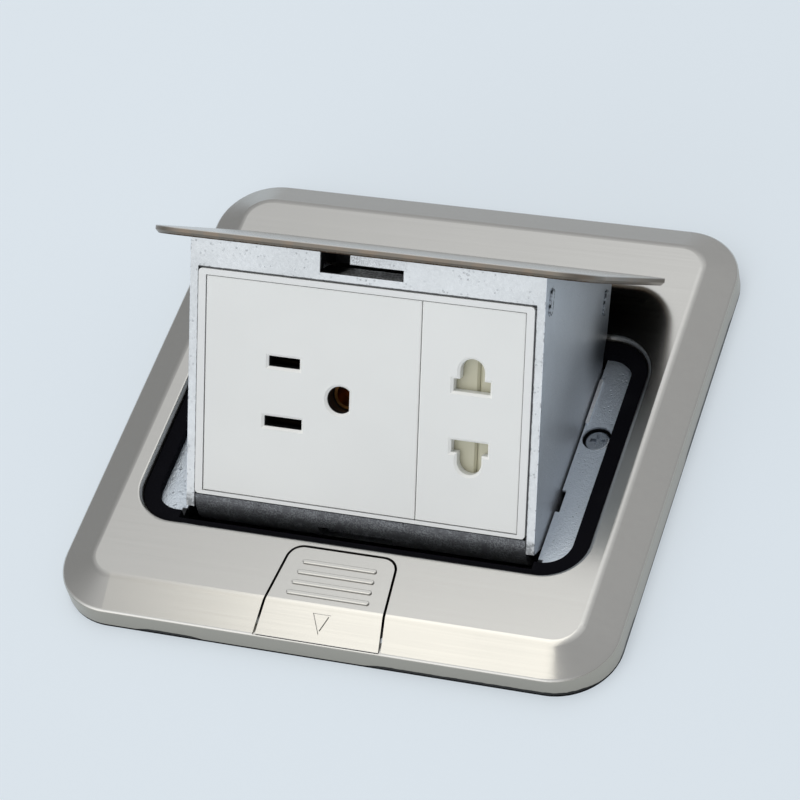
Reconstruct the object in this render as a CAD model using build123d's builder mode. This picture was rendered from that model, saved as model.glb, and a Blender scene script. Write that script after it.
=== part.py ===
from build123d import *
from math import atan2, cos, degrees, radians, sin, tan
import os

os.makedirs("parts", exist_ok=True)

# Frame: X runs along the hinge, Y from the button to the hinge, Z up, and the origin is under the
# middle of the back box. Heights named "above the floor" count from the finished floor.

# Clearances
running_gap = 0.05
slide_gap = 0.15
swing_gap = 0.45
seat_gap = 0.02

# Back box
box_inset = 10.0
box_depth = 55.0
box_wall = 1.5
box_corner = 5.0
floor_z = box_depth
entry_radius = 10.25
entry_height = 26.0
entry_pitch = 26.0
plug_flange_overlap = 1.6
plug_flange_thick = 1.2
fixing_spacing = 60.0
fixing_radius = 2.25
earth_boss_radius = 4.0
earth_boss_height = 6.0
earth_x = -34.0
earth_y = 34.0
earth_screw_radius = 2.0
earth_head_radius = 3.6
earth_head_height = 2.6
earth_washer_radius = 4.6
earth_washer_thick = 1.0

# Face plate, heights above the floor
plate_size = 120.0
plate_corner = 13.0
sheet = 1.2
seal_height = 0.6
seal_width = 5.0
seal_inset = 0.1
rim_height = 5.05
rim_roll = 0.9
plateau_height = 8.15
bevel_inset = 7.2
bevel_roll = 3.5
opening_corner = 9.0
opening_roll = 1.0
stud_inset = 14.0
stud_radius = 1.5
stud_length = 6.6

# Gasket round the opening
gasket_width = 3.3
gasket_front_width = 1.5
gasket_height = 2.0
gasket_foot = 1.5
gasket_foot_height = 1.7

# Chassis, heights above the floor
chassis_inset = 5.5
chassis_corner = 9.0
chassis_thick = 2.0
ledge_height = 5.0
chassis_wall = 2.0
chassis_wall_drop = 18.0
front_wall_drop = 7.0
well_front_inset = 0.6
well_rear_inset = 2.6
pit_rear_y = 42.0
pad_radius = 4.6
ledge_bead_width = 0.7
ledge_bead_height = 0.5
ledge_bead_length = 12.0
ledge_bead_y = 10.0
ledge_notch_y = -16.3
ledge_notch_length = 5.6
ledge_notch_width = 0.9

# Screws that hold the chassis to the box
box_screw_x = 41.8
box_screw_y = 0.8
box_screw_radius = 1.75
box_screw_length = 12.0
box_screw_head_radius = 2.9
box_screw_head_height = 1.8
counterbore_radius = 3.1
counterbore_depth = 2.6
screw_boss_radius = 4.0
lug_drop = 2.0
lug_thick = 1.5
lug_width = 12.0

# Nuts on the weld studs
nut_flats = 5.5
nut_thick = 2.4

# Hinge, measured from the floor and from the middle of the plate
hinge_y = 34.2
hinge_height = -10.3
open_angle = 48.5
rod_radius = 2.0
rod_groove_depth = 0.5
clip_thick = 0.6
clip_width = 1.8
clip_gap = 0.15

# Carrier, seen from the side with the lid closed: the first number runs back from the hinge,
# the second up from it
carrier_width = 75.88
cheek_thick = 1.86
lid_seat = 17.5
face_top_back = -69.1
face_tilt = 12.5
face_drop = 57.0
cheek_rear_back = -21.9
neck_radius = 21.8
neck_angle = 164.3
arm_top_angle = 185.5
arm_top_inner = 9.6
arm_boss_radius = 5.5
cheek_heel_back = -35.0
cheek_heel_up = -33.0
top_plate_thick = 2.0
header_thick = 2.0
peg_radius = 1.3
peg_reach = 2.6
peg_distance = 14.0
peg_below_arm_top = 20.0
clinch_width = 1.8
clinch_length = 5.4
clinch_height = 0.35

# Carrier face: heights count from the middle of the modules, up the face
modules_below_seat = 30.23
header_bottom = 24.35
slot_left = -9.7
slot_right = 8.2
slot_bottom = 26.0
slot_notch_right = -3.4
slot_notch_depth = 9.0
slot_setback = 0.4
back_ring_depth = 4.6
back_ring_thick = 2.0
back_ring_width = 3.0

# Lid
lid_width = 96.0
lid_depth = 60.5
lid_corner = 8.0
lid_thick = 1.55
lid_overhang = 1.5
lid_rear_chamfer = 0.7
lid_side_gap = 0.55
lid_front_gap = 0.5
lid_rear_gap = 1.0
lid_stud_x = 31.0
lid_stud_front = -56.0
lid_stud_rear = -27.0
lid_stud_length = 5.0

# Curved shield under the modules
lip_start = -24.0
lip_radius = 7.0
lip_thick = 1.2
lip_run = 9.0
lip_side_gap = 0.12
lip_notch_width = 16.0
lip_notch_x = -1.0
lip_notch_depth = 5.0
lip_tab_width = 4.0
lip_screw_x = 30.5
lip_screw_v = -22.7
lip_screw_radius = 1.0
lip_screw_length = 2.9
lip_screw_head_radius = 1.8
lip_screw_head_height = 1.0

# White surround of the modules
frame_width = 71.8
frame_height = 47.8
frame_rise = 0.25
frame_proud = 0.45
frame_corner = 0.8
modules_width = 68.6
modules_height = 45.8
frame_screw_x = (frame_width + modules_width) / 4
frame_screw_v = 17.0
frame_screw_radius = 0.5
frame_screw_length = 4.4
frame_screw_head_radius = 0.9
frame_screw_head_height = 0.9

# Socket modules
module_split_x = 12.44
module_gap = 0.08
module_proud = 0.3
module_plate = 2.4
module_skirt = 1.5
module_edge = 0.35
base_depth = 24.0
base_height = 41.0
catch_width = 8.0
catch_reach = 0.75
catch_depth = 1.6

# 3-pin socket, blades turned a quarter turn
blade_x = -16.9
blade_v = 6.35
blade_width_line = 6.8
blade_width_neutral = 8.2
blade_height = 2.2
blade_chamfer = 0.5
earth_pin_x = -5.0
earth_pin_width = 4.8
earth_pin_height = 5.7
clip_leaf = 0.6
clip_mouth = 1.5
clip_across = 7.4
clip_depth = 13.0
chamber_width = 10.0
chamber_height = 5.2
terminal_size = 6.0
terminal_thick = 3.6
terminal_pocket = 6.6
terminal_screw_radius = 1.5
terminal_head_radius = 2.6
terminal_head_height = 1.6
terminal_wire_radius = 1.6
earth_tube_inner = 2.45
earth_tube_slit = 1.2

# 2-pin socket
pin_v = 6.35
pin_bar_width = 7.8
pin_bar_height = 2.6
pin_dome_radius = 2.6
pin_dome_centre = 9.4
pin_chamfer = 0.5
shutter_thick = 1.8
shutter_split = 0.9
shutter_span = 4.1
shutter_reach = 13.4
shutter_slit = 0.1
shutter_ramp = 0.5
shutter_wall = 0.7
shutter_spring_radius = 0.7
shutter_spring_wire = 0.12
shutter_spring_turns = 4
pin_clip_across = 5.0
pin_clip_mouth = 2.8

# Slide button
button_behind_opening = 2.1
button_rear_half = 11.2
button_front_half = 13.25
button_corner = 3.0
button_gap = 0.55
button_lift = 0.15
rib_count = 4
rib_pitch = 2.6
rib_width = 1.0
rib_height = 0.35
rib_from_rear = 3.5
rib_first_length = 16.0
rib_growth = 0.6
mark_width = 3.9
mark_height = 4.3
mark_line = 0.35
mark_depth = 0.3
mark_up_slope = 4.3
block_half = 7.5
block_from_rear = 1.2
block_length = 7.0
guide_run = 6.0
latch_half = 11.0
latch_thick = 1.5
latch_tongue_half = 7.0
latch_tongue_height = 3.3
latch_tongue_reach = 2.15
latch_web_back = 0.9
latch_screw_x = 4.6
latch_screw_from_front = 3.5
latch_screw_radius = 1.25
latch_screw_head_radius = 2.3
latch_screw_head_height = 1.2
latch_screw_bite = 2.6
button_spring_x = 4.2
button_spring_radius = 1.05
button_spring_wire = 0.22
button_spring_turns = 5

# Torsion springs
coil_radius = 2.95
coil_wire = 0.6
coil_turns = 4
coil_leg = 13.0
coil_foot = 8.0
spring_rib_x = 31.0
spring_rib_width = 2.4
spring_rib_height = 3.5

# Stop bumpers
bumper_gap = 0.1
bumper_low = 8.4
bumper_back = -5.0
bumper_width = 3.6

# Derived places
rim_z = floor_z + rim_height
plateau_z = floor_z + plateau_height
plateau_under_z = plateau_z - sheet
ledge_z = floor_z + ledge_height
chassis_under_z = ledge_z - chassis_thick
hinge_z = floor_z + hinge_height
bevel_angle = degrees(atan2(plateau_height - rim_height, bevel_inset))
plateau_half = plate_size / 2 - bevel_inset
cheek_outer = carrier_width / 2
cheek_inner = cheek_outer - cheek_thick
well_half = cheek_outer + swing_gap
closed_lid_front_y = hinge_y + face_top_back - lid_overhang
opening_front_y = closed_lid_front_y - lid_front_gap
opening_rear_y = closed_lid_front_y + lid_depth + lid_rear_gap
opening_centre_y = (opening_front_y + opening_rear_y) / 2
opening_depth = opening_rear_y - opening_front_y
opening_width = lid_width + 2 * lid_side_gap
box_size = plate_size - 2 * box_inset
chassis_size = plate_size - 2 * chassis_inset
stud_pitch = plate_size - 2 * stud_inset
well_front_y = opening_front_y + well_front_inset
well_rear_y = opening_rear_y - well_rear_inset
button_rear_y = opening_front_y - button_behind_opening
rib_first_y = button_rear_y - rib_from_rear
block_rear_y = button_rear_y - block_from_rear
block_front_y = block_rear_y - block_length
guide_front_y = block_front_y - guide_run
latch_screw_y = block_front_y + latch_screw_from_front
latch_tongue_y = well_front_y + latch_tongue_reach
latch_web_y = well_front_y - latch_web_back
face_centre_back = face_top_back + modules_below_seat * sin(radians(face_tilt))
face_centre_up = lid_seat - modules_below_seat * cos(radians(face_tilt))


def swung(back, up):
    """Where a point of the closed carrier's side view lies once the carrier stands open."""
    turn = radians(open_angle)
    y = hinge_y + back * cos(turn) + up * sin(turn)
    z = hinge_z - back * sin(turn) + up * cos(turn)
    return (0, y, z)


def on_face(v, depth):
    """The closed side view's point that is v up the face and depth behind it."""
    tilt = radians(face_tilt)
    back = face_centre_back - v * sin(tilt) + depth * cos(tilt)
    up = face_centre_up + v * cos(tilt) + depth * sin(tilt)
    return (back, up)


def seat_v(depth):
    """How far up the face the lid's underside lies, at a depth behind the face."""
    tilt = radians(face_tilt)
    return (lid_seat - face_centre_up - depth * sin(tilt)) / cos(tilt)


# The open carrier's own planes: its side view, the lid's underside and the modules' face
open_turn = radians(open_angle)
face_turn = radians(open_angle - face_tilt)
side_plane = Plane(
    origin=(0, hinge_y, hinge_z), x_dir=(0, cos(open_turn), -sin(open_turn)), z_dir=(1, 0, 0)
)
seat_plane = Plane(
    origin=swung(0, lid_seat), x_dir=(1, 0, 0), z_dir=(0, sin(open_turn), cos(open_turn))
)
face_plane = Plane(
    origin=swung(face_centre_back, face_centre_up),
    x_dir=(1, 0, 0),
    z_dir=(0, -cos(face_turn), sin(face_turn)),
)
bevel_plane = Plane(
    origin=(0, -plate_size / 2, rim_z),
    x_dir=(1, 0, 0),
    z_dir=(0, -sin(radians(bevel_angle)), cos(radians(bevel_angle))),
)


def behind(depth):
    """The face plane moved a depth into the carrier."""
    return face_plane.offset(-depth)


def coil(start, direction, radius, wire, length, turns):
    """A coil spring's solid: a round wire carried along a helix."""
    with BuildPart() as spring:
        with BuildLine() as path:
            Helix(pitch=length / turns, height=length, radius=radius, center=start,
                  direction=direction)
        with BuildSketch(Plane(origin=path.line @ 0, z_dir=path.line % 0)):
            Circle(wire)
        sweep(path=path.line, is_frenet=True)
    return spring.part


# Pressed sheet of the plate, before anything is cut in it
with BuildPart() as skin:
    with BuildSketch(Plane.XY.offset(floor_z + seal_height)):
        RectangleRounded(plate_size, plate_size, plate_corner)
    extrude(amount=rim_height - seal_height)
    with BuildSketch(Plane.XY.offset(rim_z)):
        RectangleRounded(plate_size, plate_size, plate_corner)
    with BuildSketch(Plane.XY.offset(plateau_z)):
        RectangleRounded(2 * plateau_half, 2 * plateau_half, plate_corner - bevel_inset)
    loft(ruled=True)
    rim_edges = edges().filter_by(Plane.XY).filter_by_position(Axis.Z, rim_z - 0.01, rim_z + 0.01)
    fillet(rim_edges, rim_roll)
    fillet(faces().sort_by(Axis.Z)[-1].edges(), bevel_roll)
    slope = tan(radians(bevel_angle))
    skin_drop = sheet / cos(radians(bevel_angle))
    inner_rim_z = rim_z + sheet * slope - skin_drop
    inner_plateau_inset = (plateau_under_z - rim_z + skin_drop) / slope
    inner_plateau = plate_size - 2 * inner_plateau_inset
    with BuildSketch(Plane.XY.offset(floor_z + seal_height)):
        RectangleRounded(plate_size - 2 * sheet, plate_size - 2 * sheet, plate_corner - sheet)
    extrude(amount=inner_rim_z - floor_z - seal_height, mode=Mode.SUBTRACT)
    with BuildSketch(Plane.XY.offset(inner_rim_z)):
        RectangleRounded(plate_size - 2 * sheet, plate_size - 2 * sheet, plate_corner - sheet)
    with BuildSketch(Plane.XY.offset(plateau_under_z)):
        RectangleRounded(inner_plateau, inner_plateau, plate_corner - inner_plateau_inset)
    loft(ruled=True, mode=Mode.SUBTRACT)

# Outline of the button from above, and the plate's slot round it
with BuildSketch() as button_outline:
    with BuildLine():
        Polyline(
            (-button_rear_half, button_rear_y),
            (button_rear_half, button_rear_y),
            (button_front_half, -plate_size / 2),
            (-button_front_half, -plate_size / 2),
            close=True,
        )
    make_face()
    fillet(vertices().group_by(Axis.Y)[-1], button_corner)
with BuildSketch() as button_slot:
    add(button_outline.sketch)
    offset(amount=button_gap)
    with Locations((0, -plate_size / 2)):
        Rectangle(2 * (button_front_half + button_gap), 2 * button_gap)

# Face plate
with BuildPart() as face_plate:
    add(skin.part)
    with BuildSketch(Plane.XY.offset(plateau_z)):
        with Locations((0, opening_centre_y)):
            RectangleRounded(opening_width, opening_depth, opening_corner)
    extrude(amount=-2 * sheet, mode=Mode.SUBTRACT)
    lip_edges = faces().filter_by(Plane.XY).sort_by(Axis.Z)[-1].inner_wires().edges()
    fillet(lip_edges, opening_roll)
    with BuildSketch(Plane.XY.offset(rim_z)):
        add(button_slot.sketch)
    extrude(amount=plateau_height, mode=Mode.SUBTRACT)
    with BuildSketch(Plane.XY.offset(plateau_under_z)):
        with GridLocations(stud_pitch, stud_pitch, 2, 2):
            Circle(stud_radius)
    extrude(amount=-stud_length)
face_plate.part.label = "face_plate"

# Floor seal under the rim
with BuildPart() as floor_seal:
    with BuildSketch(Plane.XY.offset(floor_z)):
        seal_size = plate_size - 2 * seal_inset
        RectangleRounded(seal_size, seal_size, plate_corner - seal_inset)
        seal_bore = seal_size - 2 * seal_width
        RectangleRounded(seal_bore, seal_bore, plate_corner - seal_inset - seal_width,
                         mode=Mode.SUBTRACT)
    extrude(amount=seal_height)
floor_seal.part.label = "floor_seal"

# Gasket: a lip inside the opening with a foot clamped under the plate
gasket_outer_width = opening_width - 2 * slide_gap
gasket_outer_depth = opening_depth - 2 * slide_gap
gasket_outer_corner = opening_corner - slide_gap
with BuildPart() as lid_gasket:
    with BuildSketch(Plane.XY.offset(ledge_z)):
        with Locations((0, opening_centre_y)):
            RectangleRounded(gasket_outer_width, gasket_outer_depth, gasket_outer_corner)
    extrude(amount=gasket_height)
    with BuildSketch(Plane.XY.offset(ledge_z)):
        with Locations((0, opening_centre_y)):
            RectangleRounded(opening_width + 2 * gasket_foot, opening_depth + 2 * gasket_foot,
                             opening_corner + gasket_foot)
    extrude(amount=gasket_foot_height)
    with BuildSketch(Plane.XY.offset(ledge_z)):
        with Locations((0, opening_centre_y)):
            RectangleRounded(gasket_outer_width - 2 * gasket_width,
                             gasket_outer_depth - 2 * gasket_width,
                             gasket_outer_corner - gasket_width)
        with Locations((0, opening_front_y + gasket_front_width)):
            Rectangle(2 * well_half, 2 * gasket_width, align=(Align.CENTER, Align.MIN))
    extrude(amount=gasket_height, mode=Mode.SUBTRACT)
lid_gasket.part.label = "lid_gasket"

# Chassis: ledge plate, walls of the pit, screw bosses and the pads that carry the plate
with BuildPart() as chassis:
    with BuildSketch(Plane.XY.offset(chassis_under_z)):
        RectangleRounded(chassis_size, chassis_size, chassis_corner)
    extrude(amount=chassis_thick)
    with BuildSketch(Plane.XY.offset(ledge_z)):
        with GridLocations(stud_pitch, stud_pitch, 2, 2):
            Circle(pad_radius)
    extrude(amount=plateau_under_z - ledge_z)
    pit_front_y = well_front_y - chassis_wall
    pit_back_y = pit_rear_y + chassis_wall
    pit_outer = 2 * (well_half + chassis_wall)
    with BuildSketch(Plane.XY.offset(chassis_under_z)):
        with Locations((0, (pit_front_y + pit_back_y) / 2)):
            Rectangle(pit_outer, pit_back_y - pit_front_y)
    extrude(amount=-(ledge_height - chassis_thick) - chassis_wall_drop)
    with BuildSketch(Plane.XY.offset(chassis_under_z)):
        with Locations((-box_screw_x, box_screw_y), (box_screw_x, box_screw_y)):
            Circle(screw_boss_radius)
    extrude(amount=-(chassis_under_z - floor_z) - lug_drop)
    # The pit inside the walls, and the well that opens it through the plate
    with BuildSketch(Plane.XY.offset(chassis_under_z)):
        with Locations((0, (well_front_y + pit_rear_y) / 2)):
            Rectangle(2 * well_half, pit_rear_y - well_front_y)
    extrude(amount=-box_depth, mode=Mode.SUBTRACT)
    with BuildSketch(Plane.XY.offset(ledge_z)):
        with Locations((0, (well_front_y + well_rear_y) / 2)):
            Rectangle(2 * well_half, well_rear_y - well_front_y)
    extrude(amount=-2 * chassis_thick, mode=Mode.SUBTRACT)
    # The walls rise at the front, where the button's latch plate slides under the plate
    with BuildSketch(Plane.YZ.offset(-chassis_size)):
        with BuildLine():
            Polyline(
                (pit_front_y - chassis_wall, floor_z - front_wall_drop),
                (well_front_y, floor_z - front_wall_drop),
                (hinge_y - 2 * arm_boss_radius, floor_z - chassis_wall_drop),
                (hinge_y - 2 * arm_boss_radius, floor_z - box_depth),
                (pit_front_y - chassis_wall, floor_z - box_depth),
                close=True,
            )
        make_face()
    extrude(amount=2 * chassis_size, mode=Mode.SUBTRACT)
    # Slot that guides the button's block and lets the latch tongue through the front wall
    with BuildSketch(Plane.XY.offset(ledge_z)):
        with Locations((0, guide_front_y)):
            Rectangle(2 * (block_half + slide_gap), well_front_y - guide_front_y + seat_gap,
                      align=(Align.CENTER, Align.MIN))
    extrude(amount=-chassis_thick, mode=Mode.SUBTRACT)
    latch_top_z = chassis_under_z - slide_gap
    latch_z = latch_top_z - latch_thick
    with BuildSketch(Plane.XY.offset(chassis_under_z)):
        with Locations((0, (pit_front_y + well_front_y) / 2)):
            Rectangle(2 * (latch_half + slide_gap), 2 * chassis_wall)
    extrude(amount=-(chassis_under_z - latch_z) - slide_gap - latch_screw_head_height,
            mode=Mode.SUBTRACT)
    # Windows in the side walls for the box's lugs
    with BuildSketch(Plane.XY.offset(floor_z - lug_drop)):
        with Locations((-box_screw_x, box_screw_y), (box_screw_x, box_screw_y)):
            Rectangle(2 * screw_boss_radius + 4 * slide_gap, lug_width + 4 * slide_gap)
    extrude(amount=-lug_thick - 2 * slide_gap, mode=Mode.SUBTRACT)
    # Beads and notches along the ledges
    with BuildSketch(Plane.XY.offset(ledge_z)):
        bead_x = well_half + ledge_bead_width / 2
        with Locations((-bead_x, ledge_bead_y), (bead_x, ledge_bead_y)):
            SlotOverall(ledge_bead_length, ledge_bead_width, rotation=90)
    extrude(amount=ledge_bead_height)
    with BuildSketch(Plane.XY.offset(ledge_z)):
        with Locations((-well_half, ledge_notch_y), (well_half, ledge_notch_y)):
            Rectangle(2 * ledge_notch_width, ledge_notch_length)
    extrude(amount=-2 * chassis_thick, mode=Mode.SUBTRACT)
    # Ribs of the rear wall that stand behind the feet of the torsion springs
    rib_front_y = hinge_y - coil_radius + coil_wire + running_gap
    with BuildSketch(Plane.XY.offset(hinge_z - coil_foot)):
        for rib_x in (-spring_rib_x, spring_rib_x):
            with Locations((rib_x, rib_front_y)):
                Rectangle(spring_rib_width, pit_rear_y - rib_front_y,
                          align=(Align.CENTER, Align.MIN))
    extrude(amount=spring_rib_height)
    # Holes for the box screws, the plate's studs and the hinge rod
    with Locations((-box_screw_x, box_screw_y, ledge_z), (box_screw_x, box_screw_y, ledge_z)):
        CounterBoreHole(box_screw_radius + slide_gap, counterbore_radius, counterbore_depth)
    with BuildSketch(Plane.XY.offset(floor_z)):
        with GridLocations(stud_pitch, stud_pitch, 2, 2):
            Circle(stud_radius + slide_gap)
    extrude(amount=plateau_height, mode=Mode.SUBTRACT)
    with BuildSketch(Plane.YZ.offset(-chassis_size / 2)):
        with Locations((hinge_y, hinge_z)):
            Circle(rod_radius + seat_gap)
    extrude(amount=chassis_size, mode=Mode.SUBTRACT)
chassis.part.label = "chassis"

# Back box
with BuildPart() as back_box:
    with BuildSketch():
        RectangleRounded(box_size, box_size, box_corner)
    extrude(amount=box_depth)
    with BuildSketch(Plane.XY.offset(box_wall)):
        bore = box_size - 2 * box_wall
        RectangleRounded(bore, bore, box_corner - box_wall)
    extrude(amount=box_depth, mode=Mode.SUBTRACT)
    lug_tip = box_screw_x - screw_boss_radius + slide_gap + swing_gap
    lug_length = box_size / 2 - box_wall - lug_tip
    with BuildSketch(Plane.XY.offset(floor_z - lug_drop)):
        lug_middle = lug_tip + lug_length / 2
        with Locations((-lug_middle, box_screw_y), (lug_middle, box_screw_y)):
            Rectangle(lug_length, lug_width)
    extrude(amount=-lug_thick)
    with Locations(
        (-box_screw_x, box_screw_y, floor_z - lug_drop),
        (box_screw_x, box_screw_y, floor_z - lug_drop),
    ):
        Hole(box_screw_radius + seat_gap, lug_thick)
    with BuildSketch(Plane.XY.offset(box_wall)):
        with Locations((earth_x, earth_y)):
            Circle(earth_boss_radius)
    extrude(amount=earth_boss_height)
    with Locations((earth_x, earth_y, box_wall + earth_boss_height)):
        Hole(earth_screw_radius + seat_gap, earth_boss_height - box_wall)
    with BuildSketch():
        with GridLocations(fixing_spacing, fixing_spacing, 2, 2):
            Circle(fixing_radius)
    extrude(amount=box_wall, mode=Mode.SUBTRACT)
    for wall_plane in (Plane.XZ.offset(-box_size / 2), Plane.XZ.offset(box_size / 2 - box_wall)):
        with BuildSketch(wall_plane):
            with Locations((-entry_pitch / 2, entry_height), (entry_pitch / 2, entry_height)):
                Circle(entry_radius)
        extrude(amount=box_wall, mode=Mode.SUBTRACT)
back_box.part.label = "back_box"

# Plugs in the entries that aren't in use: both front ones and one at the rear
with BuildPart() as blanking_plugs:
    front_wall_y = -box_size / 2
    for centre_x, outer_y, inward in (
        (-entry_pitch / 2, front_wall_y, 1),
        (entry_pitch / 2, front_wall_y, 1),
        (-entry_pitch / 2, -front_wall_y, -1),
    ):
        outside = Plane(origin=(centre_x, outer_y, entry_height), z_dir=(0, inward, 0))
        with BuildSketch(outside):
            Circle(entry_radius - seat_gap)
        extrude(amount=box_wall)
        with BuildSketch(outside.offset(box_wall)):
            Circle(entry_radius + plug_flange_overlap)
        extrude(amount=plug_flange_thick)
blanking_plugs.part.label = "blanking_plugs"

# Earth terminal of the box
earth_seat_z = box_wall + earth_boss_height
with BuildPart() as earth_washer:
    with BuildSketch(Plane.XY.offset(earth_seat_z)):
        with Locations((earth_x, earth_y)):
            Circle(earth_washer_radius)
            Circle(earth_screw_radius + 2 * slide_gap, mode=Mode.SUBTRACT)
    extrude(amount=earth_washer_thick)
earth_washer.part.label = "earth_washer"

with BuildPart() as earth_screw:
    head_z = earth_seat_z + earth_washer_thick
    with BuildSketch(Plane.XY.offset(head_z)):
        with Locations((earth_x, earth_y)):
            Circle(earth_head_radius)
    extrude(amount=earth_head_height)
    fillet(faces().sort_by(Axis.Z)[-1].edges(), earth_head_height / 3)
    with BuildSketch(Plane.XY.offset(head_z + earth_head_height)):
        with Locations((earth_x, earth_y)):
            Rectangle(2 * earth_head_radius, earth_screw_radius / 2)
    extrude(amount=-earth_head_height / 3, mode=Mode.SUBTRACT)
    with BuildSketch(Plane.XY.offset(head_z)):
        with Locations((earth_x, earth_y)):
            Circle(earth_screw_radius)
    extrude(amount=-earth_washer_thick - earth_boss_height / 2)
earth_screw.part.label = "earth_screw"

# Screws from the ledges into the box's lugs
with BuildPart() as box_screws:
    head_seat_z = ledge_z - counterbore_depth
    screw_places = ((-box_screw_x, box_screw_y), (box_screw_x, box_screw_y))
    with BuildSketch(Plane.XY.offset(head_seat_z)):
        with Locations(*screw_places):
            Circle(box_screw_head_radius)
    extrude(amount=box_screw_head_height)
    fillet(faces().sort_by(Axis.Z)[-2:].edges(), box_screw_head_height / 2)
    with BuildSketch(Plane.XY.offset(head_seat_z + box_screw_head_height)):
        with Locations(*screw_places):
            Rectangle(box_screw_radius * 1.8, box_screw_radius / 2)
            Rectangle(box_screw_radius / 2, box_screw_radius * 1.8)
    extrude(amount=-box_screw_head_height / 2, mode=Mode.SUBTRACT)
    with BuildSketch(Plane.XY.offset(head_seat_z)):
        with Locations(*screw_places):
            Circle(box_screw_radius)
    extrude(amount=-box_screw_length)
box_screws.part.label = "box_screws"

# Nuts under the chassis on the plate's studs
with BuildPart() as face_plate_nuts:
    with BuildSketch(Plane.XY.offset(chassis_under_z)):
        with GridLocations(stud_pitch, stud_pitch, 2, 2):
            RegularPolygon(nut_flats / 2, 6, major_radius=False)
            Circle(stud_radius + seat_gap, mode=Mode.SUBTRACT)
    extrude(amount=-nut_thick)
face_plate_nuts.part.label = "face_plate_nuts"

# Hinge rod with a groove near each end, and the clips in the grooves
wall_outer = well_half + chassis_wall
groove_start = wall_outer + clip_gap
rod_half = groove_start + 2 * clip_thick + rod_groove_depth
hinge_plane = Plane(origin=(0, hinge_y, hinge_z), x_dir=(0, 1, 0), z_dir=(1, 0, 0))
with BuildPart() as hinge_rod:
    with BuildSketch(hinge_plane.offset(-rod_half)):
        Circle(rod_radius)
    extrude(amount=2 * rod_half)
    for groove_x in (-groove_start - clip_thick, groove_start):
        with BuildSketch(hinge_plane.offset(groove_x)):
            Circle(rod_radius)
            Circle(rod_radius - rod_groove_depth, mode=Mode.SUBTRACT)
        extrude(amount=clip_thick, mode=Mode.SUBTRACT)
hinge_rod.part.label = "hinge_rod"

with BuildPart() as rod_clips:
    for clip_x in (-groove_start - clip_thick + seat_gap, groove_start + seat_gap):
        with BuildSketch(hinge_plane.offset(clip_x)):
            Circle(rod_radius + clip_width)
            Circle(rod_radius - rod_groove_depth + seat_gap, mode=Mode.SUBTRACT)
            with Locations((0, -rod_radius)):
                Rectangle(rod_radius * 1.5, 2 * rod_radius + clip_width,
                          align=(Align.CENTER, Align.MAX), mode=Mode.SUBTRACT)
        extrude(amount=clip_thick - 2 * seat_gap)
rod_clips.part.label = "rod_clips"

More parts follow.
